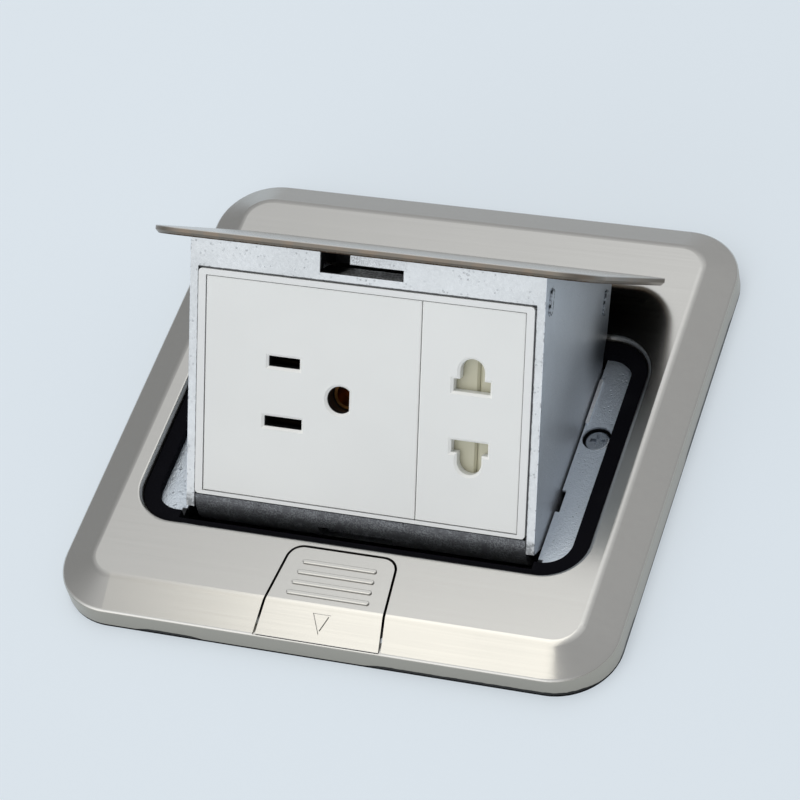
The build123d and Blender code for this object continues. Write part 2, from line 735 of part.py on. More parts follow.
# Carrier frame: two cheeks with goose-neck arms to the rod, header, top plate and back ring
neck_top = radians(neck_angle)
arm_top = radians(arm_top_angle)
peg_turn = arm_top + radians(peg_below_arm_top)
with BuildPart() as carrier_frame:
    with BuildSketch(side_plane.offset(cheek_inner)):
        with BuildLine():
            top_front = (face_top_back, lid_seat)
            bottom_front = on_face(modules_below_seat - face_drop, 0)
            heel = (cheek_heel_back, cheek_heel_up)
            heel_turn = atan2(cheek_heel_up, cheek_heel_back)
            boss_tangent = (-arm_boss_radius * sin(heel_turn), arm_boss_radius * cos(heel_turn))
            neck_start = (neck_radius * cos(neck_top), neck_radius * sin(neck_top))
            neck_end = (neck_radius * cos(arm_top), neck_radius * sin(arm_top))
            arm_inner = (arm_top_inner * cos(arm_top), arm_top_inner * sin(arm_top))
            Polyline((cheek_rear_back, lid_seat), top_front, bottom_front, heel, boss_tangent,
                     (0, 0), arm_inner, neck_end)
            Line((cheek_rear_back, lid_seat), neck_start)
            ThreePointArc(neck_start, (-neck_radius, 0), neck_end)
        make_face()
        Circle(arm_boss_radius)
    extrude(amount=cheek_thick)
    with BuildSketch(side_plane.offset(cheek_inner - peg_reach)):
        with Locations((peg_distance * cos(peg_turn), peg_distance * sin(peg_turn))):
            Circle(peg_radius)
    extrude(amount=peg_reach + cheek_thick / 2)
    with BuildSketch(side_plane.offset(cheek_outer)):
        clinch_up = lid_seat - top_plate_thick - clinch_length / 2
        front_back = on_face(modules_below_seat, 0)[0] + 2.5 * clinch_width
        with Locations((front_back, clinch_up), (cheek_rear_back - 2 * clinch_width, clinch_up)):
            SlotOverall(clinch_length, clinch_width, rotation=90)
    extrude(amount=clinch_height)
    mirror(about=Plane.YZ)
    # Header and top plate between the cheeks
    with BuildSketch(side_plane.offset(-cheek_inner)):
        with BuildLine():
            Polyline(
                on_face(header_bottom, 0),
                (face_top_back, lid_seat),
                (cheek_rear_back, lid_seat),
                (cheek_rear_back, lid_seat - top_plate_thick),
                on_face(seat_v(header_thick) - top_plate_thick, header_thick),
                on_face(header_bottom, header_thick),
                close=True,
            )
        make_face()
    extrude(amount=2 * cheek_inner)
    # Ring behind the module frame, joined to the header by its web
    with BuildSketch(behind(back_ring_depth)):
        ring_top = header_bottom + header_thick
        ring_bottom = -modules_height / 2 - back_ring_width / 2
        with Locations((0, (ring_top + ring_bottom) / 2)):
            Rectangle(2 * cheek_inner, ring_top - ring_bottom)
        with Locations((0, 0)):
            Rectangle(2 * (cheek_inner - back_ring_width), base_height + 2 * swing_gap,
                      mode=Mode.SUBTRACT)
    extrude(amount=-back_ring_thick)
    with BuildSketch(behind(header_thick)):
        with Locations((0, header_bottom)):
            Rectangle(2 * cheek_inner, header_thick, align=(Align.CENTER, Align.MIN))
    extrude(amount=-(back_ring_depth + back_ring_thick - header_thick))
    # Latch slot under the lid: cut through below the top plate, and deeper at its left end
    with BuildSketch(behind(0)):
        with Locations(((slot_left + slot_right) / 2, slot_bottom)):
            Rectangle(slot_right - slot_left, 2 * (modules_below_seat - slot_bottom),
                      align=(Align.CENTER, Align.MIN))
    extrude(amount=-slot_setback, mode=Mode.SUBTRACT)
    with BuildSketch(behind(0)):
        slot_open = modules_below_seat - slot_bottom - top_plate_thick
        with Locations(((slot_left + slot_right) / 2, slot_bottom)):
            Rectangle(slot_right - slot_left, slot_open, align=(Align.CENTER, Align.MIN))
    extrude(amount=-slot_notch_depth, mode=Mode.SUBTRACT)
    with BuildSketch(behind(0)):
        with Locations(((slot_left + slot_notch_right) / 2, slot_bottom)):
            Rectangle(slot_notch_right - slot_left, 2 * (modules_below_seat - slot_bottom),
                      align=(Align.CENTER, Align.MIN))
    extrude(amount=-slot_notch_depth, mode=Mode.SUBTRACT)
    # Holes: hinge rod, lid studs, module frame screws and lip screws
    with BuildSketch(side_plane.offset(-carrier_width)):
        Circle(rod_radius + running_gap)
    extrude(amount=2 * carrier_width, mode=Mode.SUBTRACT)
    with BuildSketch(seat_plane):
        with Locations((0, (lid_stud_front + lid_stud_rear) / 2)):
            with GridLocations(2 * lid_stud_x, lid_stud_rear - lid_stud_front, 2, 2):
                Circle(stud_radius + slide_gap)
    extrude(amount=-2 * top_plate_thick, mode=Mode.SUBTRACT)
    with BuildSketch(behind(back_ring_depth)):
        with GridLocations(2 * frame_screw_x, 2 * frame_screw_v, 2, 2):
            Circle(frame_screw_radius + seat_gap)
        with Locations((-lip_screw_x, lip_screw_v), (lip_screw_x, lip_screw_v)):
            Circle(lip_screw_radius + seat_gap)
    extrude(amount=-back_ring_thick, mode=Mode.SUBTRACT)
carrier_frame.part.label = "carrier_frame"

# Lid with its weld studs
with BuildPart() as lid:
    lid_front = face_top_back - lid_overhang
    with BuildSketch(seat_plane):
        with Locations((0, lid_front + lid_depth / 2)):
            RectangleRounded(lid_width, lid_depth, lid_corner)
    extrude(amount=lid_thick)
    rear_low = edges().filter_by(Axis.X).sort_by(Axis.Y)[-2:].sort_by(Axis.Z)[0]
    chamfer(rear_low, lid_rear_chamfer)
    with BuildSketch(seat_plane):
        with Locations((0, (lid_stud_front + lid_stud_rear) / 2)):
            with GridLocations(2 * lid_stud_x, lid_stud_rear - lid_stud_front, 2, 2):
                Circle(stud_radius)
    extrude(amount=-lid_stud_length)
lid.part.label = "lid"

with BuildPart() as lid_nuts:
    with BuildSketch(seat_plane.offset(-top_plate_thick)):
        with Locations((0, (lid_stud_front + lid_stud_rear) / 2)):
            with GridLocations(2 * lid_stud_x, lid_stud_rear - lid_stud_front, 2, 2):
                RegularPolygon(nut_flats / 2, 6, major_radius=False)
                Circle(stud_radius + seat_gap, mode=Mode.SUBTRACT)
    extrude(amount=-nut_thick)
lid_nuts.part.label = "lid_nuts"

# Curved shield under the modules
lip_half = cheek_inner - lip_side_gap
with BuildPart() as carrier_lip:
    with BuildSketch(side_plane.offset(-lip_half)):
        bend = radians(45)
        inner_radius = lip_radius - lip_thick
        low = lip_start - lip_radius
        with BuildLine():
            Line(on_face(lip_start, lip_thick), on_face(lip_start, 0))
            ThreePointArc(
                on_face(lip_start, 0),
                on_face(lip_start - lip_radius * sin(bend), lip_radius * (1 - cos(bend))),
                on_face(low, lip_radius),
            )
            Polyline(
                on_face(low, lip_radius),
                on_face(low, lip_radius + lip_run),
                on_face(low + lip_thick, lip_radius + lip_run),
                on_face(low + lip_thick, lip_radius),
            )
            ThreePointArc(
                on_face(low + lip_thick, lip_radius),
                on_face(lip_start - inner_radius * sin(bend), lip_radius - inner_radius * cos(bend)),
                on_face(lip_start, lip_thick),
            )
        make_face()
    extrude(amount=2 * lip_half)
    # Tab that the lip screws hold to the frame's back ring
    with BuildSketch(behind(back_ring_depth + back_ring_thick + seat_gap)):
        tab_top = -base_height / 2 - swing_gap - seat_gap
        tab_low = low + lip_thick / 2
        tab_middle = (tab_top + tab_low) / 2
        with Locations((-lip_screw_x, tab_middle), (lip_screw_x, tab_middle)):
            Rectangle(lip_tab_width, tab_top - tab_low)
    extrude(amount=-lip_thick)
    with BuildSketch(behind(back_ring_depth)):
        with Locations((-lip_screw_x, lip_screw_v), (lip_screw_x, lip_screw_v)):
            Circle(lip_screw_radius + seat_gap)
    extrude(amount=-2 * (back_ring_thick + lip_thick), mode=Mode.SUBTRACT)
    with BuildSketch(face_plane):
        with Locations((lip_notch_x, lip_start - lip_notch_depth)):
            Rectangle(lip_notch_width, lip_notch_depth / 2)
    extrude(amount=-lip_radius, mode=Mode.SUBTRACT)
carrier_lip.part.label = "carrier_lip"


with BuildPart() as lip_screws:
    screw_seat = back_ring_depth + back_ring_thick + seat_gap + lip_thick
    with BuildSketch(behind(screw_seat)):
        with Locations((-lip_screw_x, lip_screw_v), (lip_screw_x, lip_screw_v)):
            Circle(lip_screw_radius)
    extrude(amount=lip_screw_length)
    with BuildSketch(behind(screw_seat)):
        with Locations((-lip_screw_x, lip_screw_v), (lip_screw_x, lip_screw_v)):
            Circle(lip_screw_head_radius)
    extrude(amount=-lip_screw_head_height)
lip_screws.part.label = "lip_screws"

# White surround of the modules, and the screws that hold it from behind
with BuildPart() as module_frame:
    with BuildSketch(behind(-frame_proud)):
        with Locations((0, frame_rise)):
            RectangleRounded(frame_width, frame_height, frame_corner)
        Rectangle(modules_width, modules_height, mode=Mode.SUBTRACT)
    extrude(amount=-frame_proud - back_ring_depth)
    with BuildSketch(behind(back_ring_depth)):
        with GridLocations(2 * frame_screw_x, 2 * frame_screw_v, 2, 2):
            Circle(frame_screw_radius + seat_gap)
    extrude(amount=frame_screw_length, mode=Mode.SUBTRACT)
module_frame.part.label = "module_frame"

with BuildPart() as module_frame_screws:
    screw_seat = back_ring_depth + back_ring_thick
    with BuildSketch(behind(screw_seat)):
        with GridLocations(2 * frame_screw_x, 2 * frame_screw_v, 2, 2):
            Circle(frame_screw_radius)
    extrude(amount=frame_screw_length)
    with BuildSketch(behind(screw_seat)):
        with GridLocations(2 * frame_screw_x, 2 * frame_screw_v, 2, 2):
            Circle(frame_screw_head_radius)
    extrude(amount=-frame_screw_head_height)
module_frame_screws.part.label = "module_frame_screws"

# Socket modules
front_axis = Axis(face_plane.origin, face_plane.z_dir)
plate_back = module_plate - module_proud
line_left = -modules_width / 2 + module_gap
line_right = module_split_x - module_gap
pair_left = module_split_x + module_gap
pair_right = modules_width / 2 - module_gap
pair_x = (pair_left + pair_right) / 2
base_left = line_left + module_skirt + seat_gap
base_right = pair_right - module_skirt - seat_gap
clip_start = plate_back + shutter_thick + 2 * slide_gap + clip_leaf
clip_end = clip_start + clip_depth
terminal_start = clip_end + clip_leaf
terminal_end = terminal_start + terminal_thick


def module_front(left, right):
    """A module's front plate, with the skirt that stands on the carrier's back ring."""
    middle = (left + right) / 2
    height = modules_height - 2 * module_gap
    with BuildPart() as front:
        with BuildSketch(behind(-module_proud)):
            with Locations((middle, 0)):
                Rectangle(right - left, height)
        extrude(amount=-module_proud - back_ring_depth)
        fillet(faces().sort_by(front_axis)[-1].edges(), module_edge)
        with BuildSketch(behind(plate_back)):
            with Locations((middle, 0)):
                Rectangle(right - left - 2 * module_skirt, height - 2 * module_skirt)
        extrude(amount=-back_ring_depth, mode=Mode.SUBTRACT)
    return front.part


def module_base(left, right):
    """A module's rear body, with the two catches that hook behind the carrier's back ring."""
    with BuildPart() as body:
        with BuildSketch(behind(plate_back)):
            with Locations(((left + right) / 2, 0)):
                Rectangle(right - left, base_height)
        extrude(amount=plate_back - base_depth)
        with BuildSketch(behind(back_ring_depth + back_ring_thick + running_gap)):
            with Locations(((left + right) / 2, 0)):
                Rectangle(catch_width, base_height + 2 * catch_reach)
        extrude(amount=-catch_depth)
    return body.part


def over(v):
    """A plane across the module at height v up the face, seen from above it."""
    origin = face_plane.from_local_coords((0, v, 0))
    return Plane(origin=origin, x_dir=(1, 0, 0), z_dir=face_plane.y_dir)


def blade_contact(centre_v):
    """A clip of two leaves above and below the blade, with its terminal block behind."""
    with BuildPart() as contact:
        with BuildSketch(behind(clip_start)):
            with Locations((blade_x, centre_v)):
                Rectangle(clip_across, clip_mouth + 2 * clip_leaf)
                Rectangle(clip_across, clip_mouth, mode=Mode.SUBTRACT)
        extrude(amount=-clip_depth)
        with BuildSketch(behind(clip_end)):
            with Locations((blade_x, centre_v)):
                Rectangle(clip_across, clip_mouth + 2 * clip_leaf)
        extrude(amount=-clip_leaf)
        with BuildSketch(behind(terminal_start)):
            with Locations((blade_x, centre_v)):
                Rectangle(terminal_size, terminal_size)
                Circle(terminal_screw_radius + seat_gap, mode=Mode.SUBTRACT)
        extrude(amount=-terminal_thick)
    return contact.part


# 3-pin socket
with BuildPart() as three_pin_face:
    add(module_front(line_left, line_right))
    with BuildSketch(behind(-module_proud)) as three_pin_holes:
        with Locations((blade_x, blade_v)):
            Rectangle(blade_width_line, blade_height)
        with Locations((blade_x, -blade_v)):
            Rectangle(blade_width_neutral, blade_height)
        earth_round = earth_pin_height / 2
        earth_centre_x = earth_pin_x - earth_pin_width / 2 + earth_round
        with Locations((earth_centre_x, 0)):
            Circle(earth_round)
        with Locations((earth_pin_x + earth_pin_width / 2, 0)):
            Rectangle(earth_round, earth_pin_height, align=(Align.MIN, Align.CENTER),
                      mode=Mode.SUBTRACT)
    extrude(amount=-module_plate, mode=Mode.SUBTRACT)
    chamfer(faces().sort_by(front_axis)[-1].inner_wires().edges(), blade_chamfer)
three_pin_face.part.label = "three_pin_face"

with BuildPart() as three_pin_base:
    add(module_base(base_left, line_right - module_skirt - seat_gap))
    with BuildSketch(behind(plate_back)):
        with Locations((blade_x, -blade_v), (blade_x, blade_v)):
            Rectangle(chamber_width, chamber_height)
        with Locations((earth_centre_x, 0)):
            Circle(earth_tube_inner + clip_leaf + 2 * slide_gap)
    extrude(amount=-(terminal_start - plate_back), mode=Mode.SUBTRACT)
    terminal_places = ((blade_x, -blade_v), (blade_x, blade_v), (earth_centre_x, 0))
    with BuildSketch(behind(base_depth)):
        with Locations(*terminal_places):
            Rectangle(terminal_pocket, terminal_pocket)
    extrude(amount=base_depth - terminal_start, mode=Mode.SUBTRACT)
    wire_depth = (terminal_end + base_depth) / 2
    with BuildSketch(over(base_height / 2)):
        with Locations((blade_x, wire_depth), (earth_centre_x, wire_depth)):
            Circle(terminal_wire_radius)
    extrude(amount=-base_height / 2, mode=Mode.SUBTRACT)
    with BuildSketch(over(-base_height / 2)):
        with Locations((blade_x, wire_depth)):
            Circle(terminal_wire_radius)
    extrude(amount=base_height / 3, mode=Mode.SUBTRACT)
three_pin_base.part.label = "three_pin_base"

with BuildPart() as line_contact:
    add(blade_contact(blade_v))
line_contact.part.label = "line_contact"

with BuildPart() as neutral_contact:
    add(blade_contact(-blade_v))
neutral_contact.part.label = "neutral_contact"

with BuildPart() as earth_contact:
    with BuildSketch(behind(clip_start)):
        with Locations((earth_centre_x, 0)):
            Circle(earth_tube_inner + clip_leaf)
            Circle(earth_tube_inner, mode=Mode.SUBTRACT)
            Rectangle(earth_tube_slit, 4 * earth_tube_inner, align=(Align.CENTER, Align.MIN),
                      mode=Mode.SUBTRACT)
    extrude(amount=-clip_depth)
    with BuildSketch(behind(clip_end)):
        with Locations((earth_centre_x, 0)):
            Circle(earth_tube_inner + clip_leaf)
    extrude(amount=-clip_leaf)
    with BuildSketch(behind(terminal_start)):
        with Locations((earth_centre_x, 0)):
            Rectangle(terminal_size, terminal_size)
            Circle(terminal_screw_radius + seat_gap, mode=Mode.SUBTRACT)
    extrude(amount=-terminal_thick)
earth_contact.part.label = "earth_contact"


def terminal_screws(places):
    """Screws in the terminal blocks, with slotted heads towards the rear."""
    with BuildPart() as screws:
        with BuildSketch(behind(terminal_end)):
            with Locations(*places):
                Circle(terminal_screw_radius)
        extrude(amount=terminal_thick - seat_gap)
        with BuildSketch(behind(terminal_end)):
            with Locations(*places):
                Circle(terminal_head_radius)
        extrude(amount=-terminal_head_height)
        with BuildSketch(behind(terminal_end + terminal_head_height)):
            with Locations(*places):
                Rectangle(2 * terminal_head_radius, terminal_screw_radius / 2)
        extrude(amount=terminal_head_height / 2, mode=Mode.SUBTRACT)
    return screws.part


with BuildPart() as three_pin_screws:
    add(terminal_screws(terminal_places))
three_pin_screws.part.label = "three_pin_screws"

# 2-pin socket: T-shaped holes, two shutter leaves behind them and a clip behind each hole
with BuildPart() as two_pin_face:
    add(module_front(pair_left, pair_right))
    with BuildSketch(behind(-module_proud)):
        for way in (-1, 1):
            with Locations((pair_x, way * pin_v)):
                Rectangle(pin_bar_width, pin_bar_height)
            with Locations((pair_x, way * (pin_v + pin_dome_centre) / 2)):
                Rectangle(2 * pin_dome_radius, pin_dome_centre - pin_v)
            with Locations((pair_x, way * pin_dome_centre)):
                Circle(pin_dome_radius)
    extrude(amount=-module_plate, mode=Mode.SUBTRACT)
    chamfer(faces().sort_by(front_axis)[-1].inner_wires().edges(), pin_chamfer)
two_pin_face.part.label = "two_pin_face"

shutter_front = plate_back + slide_gap
cavity_depth = shutter_thick + 2 * slide_gap
cavity_left = pair_left + module_skirt + shutter_wall
cavity_right = pair_right - module_skirt - shutter_wall
pin_clip_v = (pin_v + pin_dome_centre) / 2 + running_gap
pair_places = ((pair_x, -pin_clip_v), (pair_x, pin_clip_v))
with BuildPart() as two_pin_base:
    add(module_base(pair_left + module_skirt + seat_gap, base_right))
    with BuildSketch(behind(plate_back)):
        with Locations(((cavity_left + cavity_right) / 2, 0)):
            Rectangle(cavity_right - cavity_left, 2 * (shutter_reach + slide_gap))
    extrude(amount=-cavity_depth, mode=Mode.SUBTRACT)
    with BuildSketch(behind(plate_back)):
        with Locations(*pair_places):
            Rectangle(pin_clip_mouth + 4 * clip_leaf, pin_clip_across + 4 * slide_gap)
    extrude(amount=-(terminal_start - plate_back), mode=Mode.SUBTRACT)
    with BuildSketch(behind(base_depth)):
        with Locations(*pair_places):
            Rectangle(terminal_pocket, terminal_pocket)
    extrude(amount=base_depth - terminal_start, mode=Mode.SUBTRACT)
    with BuildSketch(over(base_height / 2)):
        with Locations((pair_x, wire_depth)):
            Circle(terminal_wire_radius)
    extrude(amount=-base_height, mode=Mode.SUBTRACT)
two_pin_base.part.label = "two_pin_base"

with BuildPart() as two_pin_contacts:
    with BuildSketch(behind(clip_start)):
        with Locations(*pair_places):
            Rectangle(pin_clip_mouth + 2 * clip_leaf, pin_clip_across)
            Rectangle(pin_clip_mouth, pin_clip_across, mode=Mode.SUBTRACT)
    extrude(amount=-clip_depth)
    with BuildSketch(behind(clip_end)):
        with Locations(*pair_places):
            Rectangle(pin_clip_mouth + 2 * clip_leaf, pin_clip_across)
    extrude(amount=-clip_leaf)
    with BuildSketch(behind(terminal_start)):
        with Locations(*pair_places):
            Rectangle(terminal_size, terminal_size)
            Circle(terminal_screw_radius + seat_gap, mode=Mode.SUBTRACT)
    extrude(amount=-terminal_thick)
two_pin_contacts.part.label = "two_pin_contacts"

with BuildPart() as two_pin_screws:
    add(terminal_screws(pair_places))
two_pin_screws.part.label = "two_pin_screws"

split_x = pair_x + shutter_split
shutter_left_x = pair_x - shutter_span
shutter_right_x = pair_x + shutter_span


def shutter_leaf(left, right, ramp_edge):
    """A leaf that covers one side of both holes, with a ramp along its split edge."""
    with BuildPart() as leaf:
        with BuildSketch(behind(shutter_front)):
            with Locations(((left + right) / 2, 0)):
                Rectangle(right - left, 2 * shutter_reach)
        extrude(amount=-shutter_thick)
        upright = Axis(face_plane.origin, face_plane.y_dir)
        front_edges = faces().sort_by(front_axis)[-1].edges().filter_by(upright)
        chamfer(front_edges.sort_by(Axis.X)[ramp_edge], shutter_ramp)
    return leaf.part


with BuildPart() as left_shutter:
    add(shutter_leaf(shutter_left_x, split_x - shutter_slit / 2, -1))
left_shutter.part.label = "left_shutter"

with BuildPart() as right_shutter:
    add(shutter_leaf(split_x + shutter_slit / 2, shutter_right_x, 0))
right_shutter.part.label = "right_shutter"

# Slide button: the plate's own sheet, its ribs and mark, and the block that runs in the guide
with BuildPart() as slide_button:
    add(skin.part)
    with BuildSketch(Plane.XY.offset(rim_z + button_lift)):
        add(button_outline.sketch)
    extrude(amount=plateau_height, mode=Mode.INTERSECT)
    with BuildSketch(Plane.XY.offset(plateau_z)):
        for row in range(rib_count):
            with Locations((0, rib_first_y - row * rib_pitch)):
                SlotOverall(rib_first_length + row * rib_growth, rib_width)
    extrude(amount=rib_height)
    rib_tops = faces().sort_by(Axis.Z)[-rib_count:]
    fillet(rib_tops.edges(), rib_height * 0.6)
    with BuildSketch(bevel_plane):
        mark_top = mark_up_slope + mark_height / 2
        with BuildLine():
            Polyline((-mark_width / 2, mark_top), (mark_width / 2, mark_top),
                     (0, mark_top - mark_height), close=True)
        make_face()
        offset(amount=-mark_line, kind=Kind.INTERSECTION, mode=Mode.SUBTRACT)
    extrude(amount=-mark_depth, mode=Mode.SUBTRACT)
    with BuildSketch(Plane.XY.offset(latch_top_z)):
        with Locations((0, (block_rear_y + block_front_y) / 2)):
            Rectangle(2 * block_half, block_rear_y - block_front_y)
    extrude(amount=plateau_under_z - latch_top_z)
    with BuildSketch(Plane.XY.offset(latch_top_z)):
        with Locations((-latch_screw_x, latch_screw_y), (latch_screw_x, latch_screw_y)):
            Circle(latch_screw_radius + seat_gap)
    extrude(amount=latch_screw_bite, mode=Mode.SUBTRACT)
slide_button.part.label = "slide_button"

# Latch plate: a flat under the chassis, a web up through the guide and a tongue to the rear
with BuildPart() as latch_plate:
    with BuildSketch(Plane.XY.offset(latch_z)):
        with Locations((0, block_front_y)):
            Rectangle(2 * latch_half, latch_web_y - block_front_y,
                      align=(Align.CENTER, Align.MIN))
        with Locations((-latch_screw_x, latch_screw_y), (latch_screw_x, latch_screw_y)):
            Circle(latch_screw_radius + slide_gap, mode=Mode.SUBTRACT)
    extrude(amount=latch_thick)
    tongue_z = floor_z + latch_tongue_height
    with BuildSketch(Plane.XY.offset(latch_z)):
        with Locations((0, latch_web_y)):
            Rectangle(2 * latch_tongue_half, latch_thick, align=(Align.CENTER, Align.MAX))
    extrude(amount=tongue_z + latch_thick - latch_z)
    with BuildSketch(Plane.XY.offset(tongue_z)):
        with Locations((0, latch_web_y)):
            Rectangle(2 * latch_tongue_half, latch_tongue_y - latch_web_y,
                      align=(Align.CENTER, Align.MIN))
    extrude(amount=latch_thick)
latch_plate.part.label = "latch_plate"

with BuildPart() as latch_screws:
    latch_screw_places = ((-latch_screw_x, latch_screw_y), (latch_screw_x, latch_screw_y))
    with BuildSketch(Plane.XY.offset(latch_z)):
        with Locations(*latch_screw_places):
            Circle(latch_screw_radius)
    extrude(amount=latch_thick + latch_screw_bite - seat_gap)
    with BuildSketch(Plane.XY.offset(latch_z)):
        with Locations(*latch_screw_places):
            Circle(latch_screw_head_radius)
    extrude(amount=-latch_screw_head_height)
latch_screws.part.label = "latch_screws"

# Return springs of the button, in the front end of its guide
with BuildPart() as button_springs:
    spring_z = ledge_z - chassis_thick / 2
    spring_room = button_spring_wire + seat_gap
    spring_run = block_front_y - guide_front_y - 2 * spring_room
    for spring_x in (-button_spring_x, button_spring_x):
        add(coil((spring_x, guide_front_y + spring_room, spring_z), (0, 1, 0),
                 button_spring_radius, button_spring_wire, spring_run, button_spring_turns))
button_springs.part.label = "button_springs"

# Springs that close the shutter leaves
with BuildPart() as shutter_springs:
    spring_depth = shutter_front + shutter_thick / 2
    spring_room = shutter_spring_wire + seat_gap
    left_run = shutter_left_x - cavity_left - 2 * spring_room
    right_run = cavity_right - shutter_right_x - 2 * spring_room
    left_start = behind(spring_depth).from_local_coords((cavity_left + spring_room, 0, 0))
    right_start = behind(spring_depth).from_local_coords((shutter_right_x + spring_room, 0, 0))
    add(coil(left_start, (1, 0, 0), shutter_spring_radius, shutter_spring_wire, left_run,
             shutter_spring_turns))
    add(coil(right_start, (1, 0, 0), shutter_spring_radius, shutter_spring_wire, right_run,
             shutter_spring_turns))
shutter_springs.part.label = "shutter_springs"

# Torsion springs: a coil round the rod, a foot down to the chassis and a leg under the arm's peg
peg_open_angle = degrees(peg_turn) - open_angle
leg_offset = coil_radius - peg_radius - coil_wire - 2 * running_gap
leg_angle = peg_open_angle - degrees(leg_offset / peg_distance)
coil_sweep = (180 - leg_angle - 90) % 360
coil_total_turns = coil_turns - 1 + coil_sweep / 360
coil_pitch = 2 * coil_wire + seat_gap * 2
coil_outer_x = cheek_inner - coil_wire - 2 * running_gap
coil_start_x = coil_outer_x - coil_pitch * coil_total_turns
coil_plane = Plane(origin=(coil_start_x, hinge_y, hinge_z), x_dir=(0, -1, 0), z_dir=(1, 0, 0))
with BuildPart() as spring_shape:
    with BuildLine() as coil_path:
        Helix(pitch=coil_pitch, height=coil_pitch * coil_total_turns, radius=coil_radius,
              lefthand=True)
    with BuildSketch(Plane(origin=coil_path.line @ 0, z_dir=coil_path.line % 0)):
        Circle(coil_wire)
    sweep(path=coil_path.line, is_frenet=True)
    with BuildSketch(Plane(origin=coil_path.line @ 0, z_dir=(0, 1, 0))):
        Circle(coil_wire)
    extrude(amount=coil_foot)
    leg_way = coil_path.line % 1
    with BuildSketch(Plane(origin=coil_path.line @ 1, z_dir=(leg_way.X, leg_way.Y, 0))):
        Circle(coil_wire)
    extrude(amount=coil_leg)
with BuildPart() as right_torsion_spring:
    add(coil_plane.location * spring_shape.part)
right_torsion_spring.part.label = "right_torsion_spring"
with BuildPart() as left_torsion_spring:
    add(right_torsion_spring.part)
    mirror(about=Plane.YZ, mode=Mode.REPLACE)
left_torsion_spring.part.label = "left_torsion_spring"

# Bumpers under the rear ledge, which the arms come up against when the carrier is open
under_up = chassis_under_z - hinge_z
stop_turn = radians(arm_top_angle - open_angle)
stop_outer = (hinge_y - well_rear_y) / -cos(stop_turn)
stop_inner = bumper_low / sin(stop_turn)


def on_stop(radius):
    """A point of the bumper's face, a small gap off the open arm's top edge."""
    back = radius * cos(stop_turn) + bumper_gap * sin(stop_turn)
    up = radius * sin(stop_turn) - bumper_gap * cos(stop_turn)
    return (back, up)


with BuildPart() as stop_bumpers:
    with BuildSketch(hinge_plane.offset(cheek_outer - bumper_width)):
        with BuildLine():
            Polyline(
                (well_rear_y - hinge_y + bumper_gap, under_up),
                on_stop(stop_outer),
                on_stop(stop_inner),
                (bumper_back, on_stop(stop_inner)[1]),
                (bumper_back, under_up),
                close=True,
            )
        make_face()
    extrude(amount=bumper_width)
    mirror(about=Plane.YZ)
stop_bumpers.part.label = "stop_bumpers"

pieces = (
    face_plate, face_plate_nuts, floor_seal, lid_gasket, chassis, back_box, blanking_plugs,
    earth_washer, earth_screw, box_screws, hinge_rod, rod_clips, left_torsion_spring,
    right_torsion_spring, stop_bumpers, button_springs, slide_button, latch_plate, latch_screws,
    carrier_frame, lid, lid_nuts, carrier_lip, lip_screws, module_frame, module_frame_screws,
    three_pin_face, three_pin_base, line_contact, neutral_contact, earth_contact,
    three_pin_screws, two_pin_face, two_pin_base, two_pin_contacts, two_pin_screws,
    left_shutter, right_shutter, shutter_springs,
)
for piece in pieces:
    export_step(piece.part, f"parts/{piece.part.label}.step")
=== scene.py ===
"""Looks of the pop-up floor socket box: finishes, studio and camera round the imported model.

Lengths are metres in the part's frame: X along the hinge, Y from the button to the hinge, Z up,
with the finished floor 55 mm above the back box's underside.
"""

import logging
from dataclasses import dataclass
from enum import Enum

import bpy
import numpy as np
from mathutils import Matrix, Vector


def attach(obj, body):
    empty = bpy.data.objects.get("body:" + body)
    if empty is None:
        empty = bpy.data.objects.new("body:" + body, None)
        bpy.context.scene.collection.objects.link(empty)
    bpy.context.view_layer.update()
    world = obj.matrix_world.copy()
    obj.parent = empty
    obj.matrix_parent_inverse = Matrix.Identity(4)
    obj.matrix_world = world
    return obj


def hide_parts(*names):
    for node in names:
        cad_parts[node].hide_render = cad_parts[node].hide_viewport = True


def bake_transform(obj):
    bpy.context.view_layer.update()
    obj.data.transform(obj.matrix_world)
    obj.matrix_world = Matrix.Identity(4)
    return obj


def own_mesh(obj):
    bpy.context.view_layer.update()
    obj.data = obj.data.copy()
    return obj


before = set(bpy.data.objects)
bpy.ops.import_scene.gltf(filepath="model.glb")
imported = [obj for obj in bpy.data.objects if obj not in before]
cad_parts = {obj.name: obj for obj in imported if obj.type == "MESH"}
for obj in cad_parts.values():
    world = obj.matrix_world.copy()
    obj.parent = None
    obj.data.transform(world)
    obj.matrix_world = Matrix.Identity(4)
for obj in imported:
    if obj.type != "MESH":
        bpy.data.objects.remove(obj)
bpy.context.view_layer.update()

log = logging.getLogger("floor_socket")

MM = 0.001
FLOOR_Z = 55 * MM
UP = (0.0, 0.0, 1.0)


@dataclass(frozen=True)
class Face:
    """A flat face of the part: a point on it, the way it looks and the way up it."""

    point: tuple[float, float, float]
    outward: tuple[float, float, float]
    upward: tuple[float, float, float]


PLATEAU = Face((0.0, 0.0, 63.15 * MM), UP, (0.0, 1.0, 0.0))
LID_TOP = Face((0.0, 48.467 * MM, 57.323 * MM), (0.0, 0.749, 0.6626), (0.0, 0.6626, -0.749))
MODULE_FACE = Face((0.0, -16.249 * MM, 83.592 * MM), (0.0, -0.809, 0.5878), (0.0, 0.5878, 0.809))


class Grain(Enum):
    """Which way a sheet is brushed: the stretch of its pattern along X, Y and Z."""

    ALONG_X = (25.0, 2600.0, 2600.0)
    ALONG_Y = (2600.0, 25.0, 2600.0)


